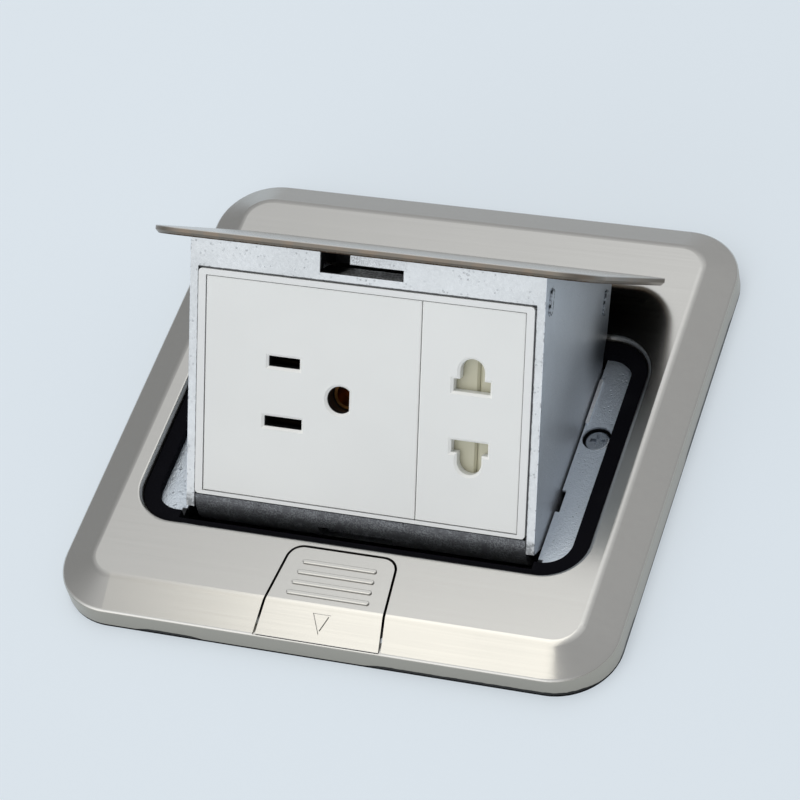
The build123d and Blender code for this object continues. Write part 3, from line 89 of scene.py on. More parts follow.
class Signal:
    """One output of a shader node. Arithmetic on it adds Math nodes."""

    def __init__(self, graph: "Graph", socket: bpy.types.NodeSocket) -> None:
        """Args:
            graph: the node tree's wrapper that new nodes go into.
            socket: the output that this signal stands for.
        """
        self.graph = graph
        self.socket = socket

    def __add__(self, other: "Signal | float") -> "Signal":
        """The sum."""
        return self.graph.maths("ADD", self, other)

    def __sub__(self, other: "Signal | float") -> "Signal":
        """The difference."""
        return self.graph.maths("SUBTRACT", self, other)

    def __rsub__(self, other: float) -> "Signal":
        """The difference, with the number first."""
        return self.graph.maths("SUBTRACT", other, self)

    def __mul__(self, other: "Signal | float") -> "Signal":
        """The product."""
        return self.graph.maths("MULTIPLY", self, other)

    def __truediv__(self, other: "Signal | float") -> "Signal":
        """The quotient."""
        return self.graph.maths("DIVIDE", self, other)

    def __pow__(self, power: float) -> "Signal":
        """The power."""
        return self.graph.maths("POWER", self, power)

    __radd__ = __add__
    __rmul__ = __mul__

    def at_least(self, floor: float) -> "Signal":
        """The larger of this and a number."""
        return self.graph.maths("MAXIMUM", self, floor)

    def size(self) -> "Signal":
        """The value without its sign."""
        return self.graph.maths("ABSOLUTE", self, 0.0)

    def band(self, low: float, high: float, soft: float) -> "Signal":
        """1 between two values and 0 outside them.

        Args:
            low: where the band starts.
            high: where it ends.
            soft: how wide its edges are.

        Returns:
            The soft-edged band.
        """
        return self.step(low - soft, low) * (1 - self.step(high, high + soft))

    def step(self, low: float, high: float) -> "Signal":
        """A smooth 0 to 1 step.

        Args:
            low: the value at which the step starts.
            high: the value at which it is complete.

        Returns:
            The eased step.
        """
        return self.graph.add(
            "ShaderNodeMapRange", {"interpolation_type": "SMOOTHSTEP"},
            {"Value": self, "From Min": low, "From Max": high},
        )


class Graph:
    """A node tree with short ways to add nodes."""

    def __init__(self, tree: bpy.types.NodeTree) -> None:
        """Args:
            tree: the node tree, which is emptied.
        """
        self.tree = tree
        tree.nodes.clear()

    def add(self, kind: str, settings: dict | None = None, sockets: dict | None = None,
            output: int | str = 0) -> Signal:
        """Adds one node of any type.

        Args:
            kind: the node's type.
            settings: its own properties, set before its sockets.
            sockets: values or signals by input name or number.
            output: which output is returned.

        Returns:
            The node's chosen output.
        """
        node = self.tree.nodes.new(kind)
        for key, value in (settings or {}).items():
            setattr(node, key, value)
        for key, value in (sockets or {}).items():
            if isinstance(value, Signal):
                self.tree.links.new(value.socket, node.inputs[key])
            else:
                node.inputs[key].default_value = value
        return Signal(self, node.outputs[output]) if node.outputs else None

    def maths(self, operation: str, left: "Signal | float", right: "Signal | float") -> Signal:
        """A Math node.

        Args:
            operation: the node's operation.
            left: its first value.
            right: its second value.

        Returns:
            The result.
        """
        return self.add("ShaderNodeMath", {"operation": operation}, {0: left, 1: right})

    def place(self) -> Signal:
        """The point on the surface, in the part's frame."""
        return self.add("ShaderNodeTexCoord", output="Object")

    def along(self, way: tuple[float, float, float], origin: tuple[float, float, float]) -> Signal:
        """How far the point on the surface lies from an origin, along a direction.

        Args:
            way: the direction, of length 1.
            origin: where the distance is nought.

        Returns:
            The distance in metres.
        """
        start = float(np.dot(way, origin))
        return self.dot(self.place(), way) - start

    def dot(self, vector: Signal, way: tuple[float, float, float]) -> Signal:
        """The dot product of a vector and a fixed direction."""
        return self.add("ShaderNodeVectorMath", {"operation": "DOT_PRODUCT"},
                        {0: vector, 1: way}, "Value")

    def looking(self, way: tuple[float, float, float]) -> Signal:
        """The cosine between the surface's normal and a direction, both in the part's frame."""
        return self.dot(self.add("ShaderNodeTexCoord", output="Normal"), way)

    def stretched(self, scale: tuple[float, float, float]) -> Signal:
        """The point on the surface, with each axis scaled.

        Args:
            scale: how often a pattern repeats in a metre along X, Y and Z.

        Returns:
            The scaled point.
        """
        return self.add("ShaderNodeMapping", sockets={"Vector": self.place(), "Scale": scale})

    def noise(self, scale: float, detail: float = 3.0, vector: Signal | None = None) -> Signal:
        """Smooth noise between 0 and 1.

        Args:
            scale: repeats in a metre.
            detail: octaves.
            vector: where it is read, if not at the point itself.

        Returns:
            The noise.
        """
        return self.add(
            "ShaderNodeTexNoise", None,
            {"Vector": vector or self.place(), "Scale": scale, "Detail": detail},
        )

    def blend(self, factor: "Signal | float", first: "Signal | tuple", second: "Signal | tuple",
              way: str = "MIX") -> Signal:
        """Two colours mixed.

        Args:
            factor: how much of the second.
            first: a colour.
            second: another.
            way: the Mix node's blend type.

        Returns:
            The mixed colour.
        """
        colours = [c if isinstance(c, Signal) else (*c, 1.0) for c in (first, second)]
        return self.add(
            "ShaderNodeMix", {"data_type": "RGBA", "blend_type": way, "clamp_factor": True},
            {0: factor, 6: colours[0], 7: colours[1]}, 2,
        )

    def bump(self, height: Signal, depth: float, strength: float = 1.0) -> Signal:
        """A Bump node.

        Args:
            height: the surface height, 0 to 1.
            depth: how deep 1 is, in metres.
            strength: the node's strength.

        Returns:
            The bent normal.
        """
        return self.add(
            "ShaderNodeBump", None, {"Height": height, "Distance": depth, "Strength": strength},
        )

    def surface(self, sockets: dict) -> None:
        """The Principled shader and the output that ends a material.

        Args:
            sockets: values or signals by input name.
        """
        shader = self.add("ShaderNodeBsdfPrincipled", None, sockets)
        self.add("ShaderNodeOutputMaterial", None, {"Surface": shader})


made_materials: dict[str, bpy.types.Material] = {}


@dataclass(frozen=True)
class Finish:
    """A finish: its name, colour and roughness, and the material it makes."""

    name: str
    colour: tuple[float, float, float]
    roughness: float

    def material(self) -> bpy.types.Material:
        """Makes the material once and returns it."""
        if self.name not in made_materials:
            made = bpy.data.materials.new(self.name)
            made.use_nodes = True
            self.shade(Graph(made.node_tree))
            made_materials[self.name] = made
        return made_materials[self.name]

    def shade(self, graph: Graph) -> None:
        """Fills the material's node tree.

        Args:
            graph: the empty node tree.
        """
        raise NotImplementedError

    def tinted(self, graph: Graph, factor: Signal, shade: float) -> Signal:
        """The finish's colour, darkened where a signal is high.

        Args:
            graph: the node tree.
            factor: 0 to 1.
            shade: what the colour is multiplied by at 1.

        Returns:
            The colour.
        """
        dark = tuple(c * shade for c in self.colour)
        return graph.blend(factor, self.colour, dark)


@dataclass(frozen=True)
class BrushedSheet(Finish):
    """Stainless sheet: fine brushing lines, faint blotches, and a duller rim or cut edge, darkened by
    painted shade.
    """

    grain: Grain = Grain.ALONG_X
    face: Face = PLATEAU
    # The rim's colour: painted shade, darker than the face.
    edge: tuple[float, float, float] = (0.42, 0.395, 0.345)
    line_depth: float = 0.0003 * MM

    def shade(self, graph: Graph) -> None:
        """Lines from noise stretched along the grain; the edge is where the normal turns away."""
        lines = graph.noise(1.0, 4.0, graph.stretched(self.grain.value))
        long_lines = graph.noise(0.35, 2.0, graph.stretched(self.grain.value))
        blotches = graph.noise(38.0, 3.0)
        wear = graph.noise(160.0, 5.0).step(0.58, 0.78)
        shade = (lines * 0.4 + long_lines * 0.3 + blotches * 0.4).step(0.3, 0.85)
        outward = graph.looking(self.face.outward)
        colour = self.edges(graph, self.tinted(graph, shade, 0.95), outward)
        graph.surface({
            "Base Color": colour,
            "Metallic": 1.0,
            "Roughness": self.roughness + (lines - 0.5) * 0.06 + (blotches - 0.5) * 0.05
            + wear * 0.02 + (1 - outward.size().step(0.35, 0.8)) * 0.1,
            "Normal": graph.bump(lines + long_lines * 0.6, self.line_depth),
        })

    def edges(self, graph: Graph, top: Signal, outward: Signal) -> Signal:
        """The sheet's colour with painted shade darkening its rim.

        Args:
            graph: the node tree.
            top: the colour of the face.
            outward: the cosine between the normal and the face's outward way.

        Returns:
            The colour.
        """
        # Painted shade on the rim, where the normal turns away from the face.
        return graph.blend(1 - outward.size().step(0.3, 0.75), top, self.edge)

    def under(self, outward: Signal) -> Signal:
        """How much of the underside shows: none on a plain sheet."""
        return outward * 0.0


@dataclass(frozen=True)
class PressedPlate(BrushedSheet):
    """The face plate's sheet, black in patches along its foot."""

    foot: float = 55.6 * MM
    black_foot_height: float = 0.65 * MM
    black_foot_x: tuple[tuple[float, float], ...] = ((-37 * MM, -29 * MM), (13 * MM, 54 * MM))
    black_foot_y: tuple[tuple[float, float], ...] = ((-47 * MM, -41 * MM), (4 * MM, 38 * MM))

    def edges(self, graph: Graph, top: Signal, outward: Signal) -> Signal:
        """Adds the black patches along the foot to the rim's painted shade.

        Args:
            graph: the node tree.
            top: the colour of the face.
            outward: the cosine between the normal and the face's outward way.

        Returns:
            The colour.
        """
        # Painted shade on the rim, as on the plain sheet.
        rim = graph.blend(1 - outward.size().step(0.3, 0.75), top, self.edge)
        height = graph.along(UP, (0.0, 0.0, self.foot))
        places = [(graph.along((1.0, 0.0, 0.0), (0.0, 0.0, 0.0)), self.black_foot_x),
                  (graph.along((0.0, 1.0, 0.0), (0.0, 0.0, 0.0)), self.black_foot_y)]
        patches = sum(place.band(low, high, 4 * MM) for place, smears in places
                      for low, high in smears)
        ragged = 0.6 + graph.noise(700.0, 3.0) * 0.8
        black_foot = 1 - (height - patches * ragged * self.black_foot_height).step(0.0, 0.12 * MM)
        return graph.blend(black_foot * 0.95, rim, (0.006, 0.006, 0.007))


@dataclass(frozen=True)
class SawnLid(BrushedSheet):
    """The lid's sheet: a sheared edge with a painted highlight along its top and a dark ragged lower
    line.
    """

    thickness: float = 1.55 * MM
    underside: tuple[float, float, float] = (0.56, 0.55, 0.53)
    # The underside's painted shade, towards the hinge.
    underside_shade: tuple[float, float, float] = (0.02, 0.019, 0.017)
    underside_shade_y: tuple[float, float] = (14.0 * MM, 29.0 * MM)

    def edges(self, graph: Graph, top: Signal, outward: Signal) -> Signal:
        """Adds the edge's two lines, the upper one a painted highlight, and the underside with painted
        shade darkening it towards the hinge.

        Args:
            graph: the node tree.
            top: the colour of the face.
            outward: the cosine between the normal and the face's outward way.

        Returns:
            The colour.
        """
        drop = graph.along(self.face.outward, self.face.point)
        ragged = (graph.noise(2600.0, 2.0) - 0.5) * (0.5 * MM)
        lower = 1 - (drop + ragged).step(-self.thickness + 0.1 * MM, -self.thickness + 0.3 * MM)
        # Painted highlight along the top of the edge.
        top_highlight = drop.step(-0.22 * MM, -0.08 * MM)
        stains = graph.noise(300.0, 3.0).step(0.4, 0.7)
        edge = graph.blend(stains * 0.5, self.edge, (0.26, 0.20, 0.15))
        edge = graph.blend(top_highlight * 0.7, edge, (0.55, 0.54, 0.52))
        edge = graph.blend(lower * 0.92, edge, (0.05, 0.03, 0.02))
        sheared = graph.blend(1 - outward.step(0.3, 0.75), top, edge)
        # Painted shade on the underside, darker towards the hinge.
        rearward = graph.along((0.0, 1.0, 0.0), (0.0, 0.0, 0.0)).step(*self.underside_shade_y)
        below = graph.blend(rearward, self.underside, self.underside_shade)
        return graph.blend(self.under(outward), sheared, below)

    def under(self, outward: Signal) -> Signal:
        """How much of the underside shows."""
        return (outward * -1.0).step(0.9, 0.98)


@dataclass(frozen=True)
class SandCast(Finish):
    """Die-cast alloy with a sandy skin, dark pinholes and a few painted glints."""

    speck: float = 0.2
    glint: float = 0.0
    glint_from: float = 0.56
    grit: float = 0.09 * MM
    metal: float = 0.7

    def shade(self, graph: Graph) -> None:
        """Grains from two sizes of noise; pinholes where the cell distance is small."""
        grains = graph.noise(3300.0, 4.0)
        pits = graph.noise(1300.0, 3.0)
        holes = graph.add("ShaderNodeTexVoronoi", {"feature": "F1"},
                          {"Vector": graph.place(), "Scale": 1250.0}, "Distance")
        specks = (1 - holes.step(0.08, 0.32)) * graph.noise(380.0, 2.0).step(0.46, 0.62)
        stains = graph.noise(70.0, 4.0).step(0.35, 0.8)
        tone = self.tinted(graph, stains * 0.45 + (1 - grains) * 0.45, 0.74)
        tone = graph.blend(specks * self.speck, tone, (0.06, 0.06, 0.065))
        # Painted glints: bright specks blended into the colour.
        glints = (grains.step(self.glint_from, self.glint_from + 0.14)
                  * graph.noise(500.0, 2.0).step(0.3, 0.6))
        tone = graph.blend(glints * self.glint, tone, (0.6, 0.63, 0.66))
        graph.surface({
            "Base Color": self.hollows(graph, tone),
            "Metallic": self.metal,
            "Roughness": self.roughness + (pits - 0.5) * 0.25,
            "Normal": graph.bump(grains * 0.6 + pits * 0.7 - specks * 0.8, self.grit),
        })

    def hollows(self, graph: Graph, tone: Signal) -> Signal:
        """The colour inside the casting's hollows: the same on a plain casting."""
        return tone


@dataclass(frozen=True)
class ChassisCast(SandCast):
    """The chassis's casting: a painted highlight on its ledges' beads, and painted black shade below
    the ledges and across the front inside the corners.
    """

    ledge_z: float = 60.0 * MM
    corner_x: float = 39.6 * MM
    corner_y: float = -31.2 * MM

    def hollows(self, graph: Graph, tone: Signal) -> Signal:
        """Paints shade below the ledges and across the front, and a highlight on the beads.

        Args:
            graph: the node tree.
            tone: the casting's colour.

        Returns:
            The colour.
        """
        height = graph.along(UP, (0.0, 0.0, self.ledge_z))
        # Painted highlight on the beads along the top of the ledges.
        tone = graph.blend(height.step(0.15 * MM, 0.4 * MM) * 0.9, tone, (0.97, 0.98, 1.0))
        # Painted shade below the ledges and across the front inside the corners.
        inward = 1 - graph.along((1.0, 0.0, 0.0), (0.0, 0.0, 0.0)).size().step(
            self.corner_x - 0.4 * MM, self.corner_x)
        forward = 1 - graph.along((0.0, 1.0, 0.0), (0.0, 0.0, 0.0)).step(
            self.corner_y - 0.4 * MM, self.corner_y)
        below = 1 - height.step(-0.8 * MM, -0.3 * MM)
        painted_shade = graph.maths("MAXIMUM", below, inward * forward)
        return graph.blend(painted_shade, tone, (0.02, 0.021, 0.024))


@dataclass(frozen=True)
class CarrierCast(SandCast):
    """The carrier's casting: painted shade in its latch slot, round its pressed marks and along its
    foot, painted reflections on its cheeks, and grime along its seams.
    """

    slot_x: tuple[float, float] = (-9.8 * MM, 8.3 * MM)
    slot_v: tuple[float, float] = (25.9 * MM, 30.4 * MM)
    slot_depth: float = 0.55 * MM
    ledge_v: float = 28.1 * MM
    seam: float = 24.2 * MM
    foot: float = -23.7 * MM
    cheek_inner: float = 36.08 * MM
    cheek_outer: float = 37.94 * MM
    mark_centres: tuple[tuple[float, float, float], ...] = (
        (0.0, 0.981 * MM, 101.564 * MM), (0.0, 26.890 * MM, 72.280 * MM))
    gasket_reflection_centre: tuple[float, float, float] = (0.0, 21.5 * MM, 64.0 * MM)
    gasket_reflection_reach: tuple[float, float] = (1.5 * MM, 15.0 * MM)
    mark_straight: float = 1.8 * MM
    mark_radius: float = 0.9 * MM

    def hollows(self, graph: Graph, tone: Signal) -> Signal:
        """Paints shade in the latch slot, round the pressed marks and along the face's foot, paints a
        sky reflection and a dark gasket reflection on the cheeks, and draws the seams round the
        modules.

        Args:
            graph: the node tree.
            tone: the casting's colour.

        Returns:
            The colour.
        """
        across = graph.along((1.0, 0.0, 0.0), (0.0, 0.0, 0.0))
        up = graph.along(MODULE_FACE.upward, MODULE_FACE.point)
        depth = graph.along(MODULE_FACE.outward, MODULE_FACE.point) * -1.0
        soft = 0.05 * MM
        # Painted shade inside the latch slot, laid on at the end: near black, with a speckled grey in
        # its lower part to the right.
        inside = (across.band(*self.slot_x, soft) * up.band(*self.slot_v, soft)
                  * depth.band(self.slot_depth, 12 * MM, 0.1 * MM))
        crumbs = graph.noise(1500.0, 3.0)
        front = 1 - depth.step(0.2 * MM, 0.8 * MM)
        band = up.band(self.slot_v[0], self.ledge_v, soft) * across.step(-6.2 * MM, -4.6 * MM)
        slot_shade = graph.blend(band * (0.4 + crumbs.step(0.4, 0.6) * 0.5), (0.008, 0.008, 0.009),
                           (0.8, 0.82, 0.84))
        tab = (up.band(self.ledge_v, 31.5 * MM, soft) * front
               * across.band(-5.6 * MM, 8.8 * MM, 0.2 * MM))
        sand = graph.noise(5200.0, 2.0).step(0.42, 0.58)
        fading = 1 - across.step(-5.6 * MM, 9.5 * MM) * 0.75
        tone = graph.blend(tab * sand * fading * 0.85, tone, (0.10, 0.10, 0.105))
        rough = graph.noise(900.0, 3.0)
        wander = (rough - 0.5) * (0.25 * MM)
        across_seam = (up + wander - self.seam).band(-0.02 * MM, 0.3 * MM, 0.1 * MM)
        within = 1 - across.size().step(self.cheek_inner, self.cheek_inner + 0.2 * MM)
        along_cheek = (across.size() + wander - self.cheek_inner).band(-0.3 * MM, 0.12 * MM, 0.1 * MM)
        below = 1 - up.step(self.seam, self.seam + 0.2 * MM)
        seams = (across_seam * within + along_cheek * below) * front
        outer_edge = across.size().step(self.cheek_outer - 0.35 * MM, self.cheek_outer)
        under_lid = up.step(31.0 * MM, 31.6 * MM)
        chips = (outer_edge + under_lid) * rough.step(0.56, 0.66) * front
        tone = graph.blend(seams * 0.85 + chips * 0.6, tone, (0.03, 0.03, 0.033))
        outside = across.size().step(self.cheek_outer - 0.1 * MM, self.cheek_outer - 0.02 * MM)
        # Painted reflection of a blue sky on the cheeks' outer faces.
        tone = graph.blend(outside * 0.3, tone, (0.52, 0.61, 0.74))
        # Painted dark reflection of the gasket, blue-black, at the rear foot of each cheek.
        tone = graph.blend(self.gasket_reflection(graph) * outside * 0.85, tone, (0.035, 0.045, 0.06))
        # Painted shade in a ring round each pressed mark on the cheeks.
        mark_shade = self.marks(graph) * outside * crumbs.step(0.4, 0.6)
        tone = graph.blend(mark_shade, tone, (0.03, 0.035, 0.04))
        # Painted shadow along the foot of the carrier's face.
        foot = (1 - up.step(self.foot - 1.2 * MM, self.foot)) * front
        tone = graph.blend(foot * (0.62 - crumbs.step(0.45, 0.62) * 0.35), tone, (0.015, 0.016, 0.018))
        return graph.blend(inside, tone, slot_shade)

    def gasket_reflection(self, graph: Graph) -> Signal:
        """How much painted dark reflection of the gasket a point gets at the rear foot of each cheek.

        Args:
            graph: the node tree.

        Returns:
            1 at the reflection's middle, fading with the distance in the plane of the cheek.
        """
        back = graph.along((0.0, 1.0, 0.0), self.gasket_reflection_centre)
        rise = graph.along(UP, self.gasket_reflection_centre)
        far = (back * back + rise * rise) ** 0.5
        return 1 - far.step(*self.gasket_reflection_reach)

    def marks(self, graph: Graph) -> Signal:
        """How much painted shade a point gets in a ring round each pressed mark on the cheeks.

        The distance to a mark is that to its middle line: the part of the way along beyond the
        line's end and the way across, put together as the sides of a right-angled triangle.

        Args:
            graph: the node tree.

        Returns:
            1 in a ring round each mark.
        """
        rings = 0.0
        for centre in self.mark_centres:
            beyond = (graph.along(LID_TOP.outward, centre).size() - self.mark_straight).at_least(0.0)
            beside = graph.along(LID_TOP.upward, centre)
            far = (beyond * beyond + beside * beside) ** 0.5
            rings = far.band(0.6 * self.mark_radius, 1.0 * self.mark_radius, 0.25 * MM) + rings
        return rings


@dataclass(frozen=True)
class Moulded(Finish):
    """Moulded plastic: a fine spark-eroded skin, faint flow marks and a little gloss."""

    coat: float = 0.15
    skin: float = 0.006 * MM
    shell: float = 0.0
    liner: tuple[float, float, float] = (0.012, 0.012, 0.013)
    border: tuple[float, float] | None = None
    lit_edges: float = 0.0

    def shade(self, graph: Graph) -> None:
        """Skin from fine noise, flow marks from slow noise, and a dark liner below the shell."""
        skin = graph.noise(5200.0, 2.0)
        flow = graph.noise(45.0, 2.0)
        tone = self.tinted(graph, flow.step(0.3, 0.8), 0.96)
        # Painted highlight on the faces' bevels, which lie tilted from the face.
        if self.lit_edges:
            tilted = graph.looking(MODULE_FACE.outward).band(0.45, 0.9, 0.06)
            tone = graph.blend(tilted * self.lit_edges, tone, (0.95, 0.95, 0.93))
        if self.shell:
            depth = graph.along(MODULE_FACE.outward, MODULE_FACE.point) * -1.0
            tone = graph.blend(depth.step(self.shell, self.shell + 0.1 * MM), tone, self.liner)
        if self.border:
            half_width, half_height = self.border
            across = graph.along((1.0, 0.0, 0.0), (0.0, 0.0, 0.0)).size() - half_width
            up = graph.along(MODULE_FACE.upward, MODULE_FACE.point).size() - half_height
            outside = graph.maths("MAXIMUM", across, up).step(-0.16 * MM, -0.08 * MM)
            tone = graph.blend(outside * 0.75, tone, (0.06, 0.06, 0.06))
        graph.surface({
            "Base Color": tone,
            "Roughness": self.roughness + (flow - 0.5) * 0.06 + (skin - 0.5) * 0.05,
            "Coat Weight": self.coat,
            "Coat Roughness": 0.2,
            "Normal": graph.bump(skin, self.skin),
        })


@dataclass(frozen=True)
class SoftRubber(Finish):
    """Black rubber with a dusty bloom."""

    def shade(self, graph: Graph) -> None:
        """Bloom from slow noise, skin from fine noise."""
        skin = graph.noise(2600.0, 4.0)
        bloom = graph.noise(150.0, 4.0).step(0.5, 0.85)
        pale = tuple(c + 0.006 for c in self.colour)
        graph.surface({
            "Base Color": graph.blend(bloom * 0.6, self.colour, pale),
            "Roughness": self.roughness + (skin - 0.5) * 0.2,
            "Specular IOR Level": 0.05,
            "Normal": graph.bump(skin, 0.03 * MM),
        })


@dataclass(frozen=True)
class Plated(Finish):
    """Plated or bare bright metal: soft blotches in the plating and darker rubbed grain."""

    blotch: float = 0.84

    def shade(self, graph: Graph) -> None:
        """Blotches from cells and noise, grain from fine noise."""
        grain = graph.noise(3000.0, 3.0)
        blotches = graph.noise(240.0, 4.0)
        graph.surface({
            "Base Color": self.tinted(graph, blotches.step(0.35, 0.75), self.blotch),
            "Metallic": 1.0,
            "Roughness": self.roughness + (blotches - 0.5) * 0.2 + (grain - 0.5) * 0.1,
            "Normal": graph.bump(grain, 0.008 * MM),
        })


@dataclass(frozen=True)
class Galvanised(Finish):
    """Galvanised sheet: angular zinc flakes that differ in tone and gloss."""

    def shade(self, graph: Graph) -> None:
        """Flakes from the cells' own random colour."""
        cells = graph.add("ShaderNodeTexVoronoi", {"feature": "F1"},
                          {"Vector": graph.place(), "Scale": 210.0}, "Color")
        flake = graph.add("ShaderNodeSeparateColor", None, {"Color": cells})
        grain = graph.noise(1800.0, 3.0)
        graph.surface({
            "Base Color": self.tinted(graph, flake * 0.6 + grain * 0.3, 0.72),
            "Metallic": 0.9,
            "Roughness": self.roughness + (flake - 0.5) * 0.16,
            "Normal": graph.bump(grain * 0.5 + flake * 0.4, 0.01 * MM),
        })


FACE_BORDER = (34.22 * MM, 22.82 * MM)
STAINLESS = PressedPlate("brushed_stainless", (0.575, 0.565, 0.54), 0.2)
BUTTON_STEEL = BrushedSheet("button_stainless", (0.585, 0.575, 0.55), 0.2, edge=(0.30, 0.29, 0.27))
LID_STEEL = SawnLid("lid_stainless", (0.56, 0.55, 0.53), 0.28, face=LID_TOP,
                    edge=(0.20, 0.18, 0.155))
CARRIER_CASTING = CarrierCast("carrier_casting", (0.62, 0.645, 0.665), 0.4, speck=0.07)
CHASSIS_CASTING = ChassisCast("chassis_casting", (0.76, 0.83, 0.91), 0.36, speck=0.06,
                              glint=0.5, grit=0.17 * MM)
# The lip's casting is painted dark: painted shade, as the lip faces down away from the light.
SHADED_LIP_CASTING = SandCast("shaded_lip_casting", (0.12, 0.125, 0.135), 0.5, speck=0.5, glint=0.22,
                       glint_from=0.44)
ZINC_SHEET = Galvanised("galvanised_sheet", (0.55, 0.57, 0.59), 0.4)
ZINC_PLATE = Plated("zinc_plate", (0.64, 0.64, 0.61), 0.27)
DARK_SCREW = Plated("dark_screw", (0.48, 0.51, 0.55), 0.3)
SPRING_WIRE = Plated("drawn_wire", (0.45, 0.45, 0.47), 0.3)
BRASS = Plated("bright_brass", (0.66, 0.46, 0.18), 0.3)
# Brass painted near black: painted shade on the contacts deep in the slots.
SHADED_BRASS = Plated("shaded_brass", (0.012, 0.009, 0.006), 0.5)
EARTH_BRASS = Plated("earth_brass", (0.46, 0.22, 0.07), 0.36)
WHITE_FACE = Moulded("white_module", (0.79, 0.80, 0.79), 0.38, coat=0.05, border=FACE_BORDER,
                    lit_edges=0.8)
SLOTTED_FACE = Moulded("slotted_module", (0.79, 0.80, 0.79), 0.38, coat=0.05, shell=0.4 * MM,
                       border=FACE_BORDER, lit_edges=0.8)
WHITE_FRAME = Moulded("white_surround", (0.78, 0.79, 0.79), 0.36, coat=0.05)
GREY_BASE = Moulded("grey_base", (0.02, 0.02, 0.022), 0.5, coat=0.0)
CREAM_LEAF = Moulded("cream_shutter", (0.52, 0.50, 0.375), 0.4, coat=0.05)
DARK_PLUG = Moulded("dark_plug", (0.03, 0.03, 0.033), 0.45, coat=0.0)
RUBBER = SoftRubber("gasket_rubber", (0.004, 0.004, 0.006), 0.8)


def dress(finish: Finish, *nodes: str) -> None:
    """Gives CAD nodes a finish.

    Args:
        finish: the finish.
        nodes: the nodes' names.
    """
    for name in nodes:
        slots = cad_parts[name].data.materials
        slots.clear()
        slots.append(finish.material())
        log.info("%s: %s", name, finish.name)


def mesh_piece(name: str, points: np.ndarray, faces: np.ndarray) -> bpy.types.Object:
    """Makes an object from whole arrays.

    Args:
        name: the piece's name.
        points: its corners, one row each.
        faces: corner numbers, one row a face.

    Returns:
        The object, at the origin.
    """
    mesh = bpy.data.meshes.new(name)
    mesh.from_pydata(points.tolist(), [], faces.tolist())
    mesh.update()
    piece = bpy.data.objects.new(name, mesh)
    bpy.context.scene.collection.objects.link(piece)
    return piece


@dataclass
class FacePlate:
    """The pressed face plate with its gasket, seal and slide button."""

    def build(self) -> None:
        """Dresses the plate's nodes."""
        dress(STAINLESS, "face_plate")
        dress(BUTTON_STEEL, "slide_button")
        dress(RUBBER, "lid_gasket", "floor_seal", "stop_bumpers")
        dress(ZINC_PLATE, "latch_plate", "latch_screws", "face_plate_nuts")
        dress(SPRING_WIRE, "button_springs")


@dataclass
class Box:
    """The chassis and the back box below the floor."""

    def build(self) -> None:
        """Dresses the box's nodes."""
        dress(CHASSIS_CASTING, "chassis")
        dress(ZINC_SHEET, "back_box")
        dress(DARK_PLUG, "blanking_plugs")
        dress(DARK_SCREW, "box_screws")
        dress(ZINC_PLATE, "hinge_rod", "rod_clips")
        dress(SPRING_WIRE, "left_torsion_spring", "right_torsion_spring")
        dress(BRASS, "earth_screw", "earth_washer")


@dataclass
class Carrier:
    """The carrier that swings up, with its lid and front lip."""

    def build(self) -> None:
        """Dresses the carrier's nodes."""
        dress(CARRIER_CASTING, "carrier_frame")
        dress(LID_STEEL, "lid")
        dress(SHADED_LIP_CASTING, "carrier_lip")
        dress(ZINC_PLATE, "lid_nuts", "lip_screws")


@dataclass
class Sockets:
    """The two socket modules in their white surround."""

    def build(self) -> None:
        """Dresses the modules' nodes."""
        dress(WHITE_FRAME, "module_frame")
        dress(SLOTTED_FACE, "three_pin_face")
        dress(WHITE_FACE, "two_pin_face")
        dress(GREY_BASE, "three_pin_base", "two_pin_base")
        dress(CREAM_LEAF, "left_shutter", "right_shutter")
        dress(SHADED_BRASS, "line_contact", "neutral_contact")
        dress(EARTH_BRASS, "earth_contact")
        dress(BRASS, "two_pin_contacts")
        dress(ZINC_PLATE, "three_pin_screws", "two_pin_screws", "module_frame_screws")
        dress(SPRING_WIRE, "shutter_springs")


@dataclass(frozen=True)
class Coil:
    """A coil spring: where its wire's middle starts, how far it runs, its two radii and its turns."""

    start: tuple[float, float, float]
    run: tuple[float, float, float]
    radius: float
    wire: float
    turns: float
    ring: int = 8
    steps_per_turn: int = 28

    def surface(self) -> tuple[np.ndarray, np.ndarray]:
        """The wire's skin.

        The wire's middle goes round the run at the coil's radius, at an even rate, while it moves
        along the run. At each step a ring of points stands on the radius and on the direction
        that is square to both the radius and the wire's own way.

        Returns:
            The points and the four-cornered faces, the two ends closed by faces on their rings.
        """
        run = np.array(self.run)
        length = np.linalg.norm(run)
        ahead = run / length
        side = np.cross(ahead, UP)
        side /= np.linalg.norm(side)
        rise = np.cross(ahead, side)
        share = np.linspace(0.0, 1.0, int(self.turns * self.steps_per_turn) + 1)[:, None]
        angle = 2 * np.pi * self.turns * share
        spoke = np.cos(angle) * side + np.sin(angle) * rise
        round_way = np.cos(angle) * rise - np.sin(angle) * side
        middle = np.array(self.start) + share * run + self.radius * spoke
        way = ahead * length + 2 * np.pi * self.turns * self.radius * round_way
        way /= np.linalg.norm(way, axis=1, keepdims=True)
        across = np.cross(way, spoke)
        turn = np.linspace(0.0, 2 * np.pi, self.ring, endpoint=False)[None, :, None]
        points = middle[:, None] + self.wire * (np.cos(turn) * spoke[:, None]
                                                + np.sin(turn) * across[:, None])
        row, column = np.meshgrid(np.arange(len(share) - 1), np.arange(self.ring), indexing="ij")
        after = (column + 1) % self.ring
        first = row * self.ring
        sides = np.stack([first + column, first + after, first + self.ring + after,
                          first + self.ring + column], axis=-1).reshape(-1, 4)
        last = (len(share) - 1) * self.ring
        fan = np.arange(0, self.ring - 2, 2)
        start_cap = np.column_stack([fan * 0, fan + 3, fan + 2, fan + 1]) % self.ring
        end_cap = last + np.column_stack([fan * 0, fan + 1, fan + 2, fan + 3]) % self.ring
        return points.reshape(-1, 3), np.concatenate([sides, start_cap, end_cap])


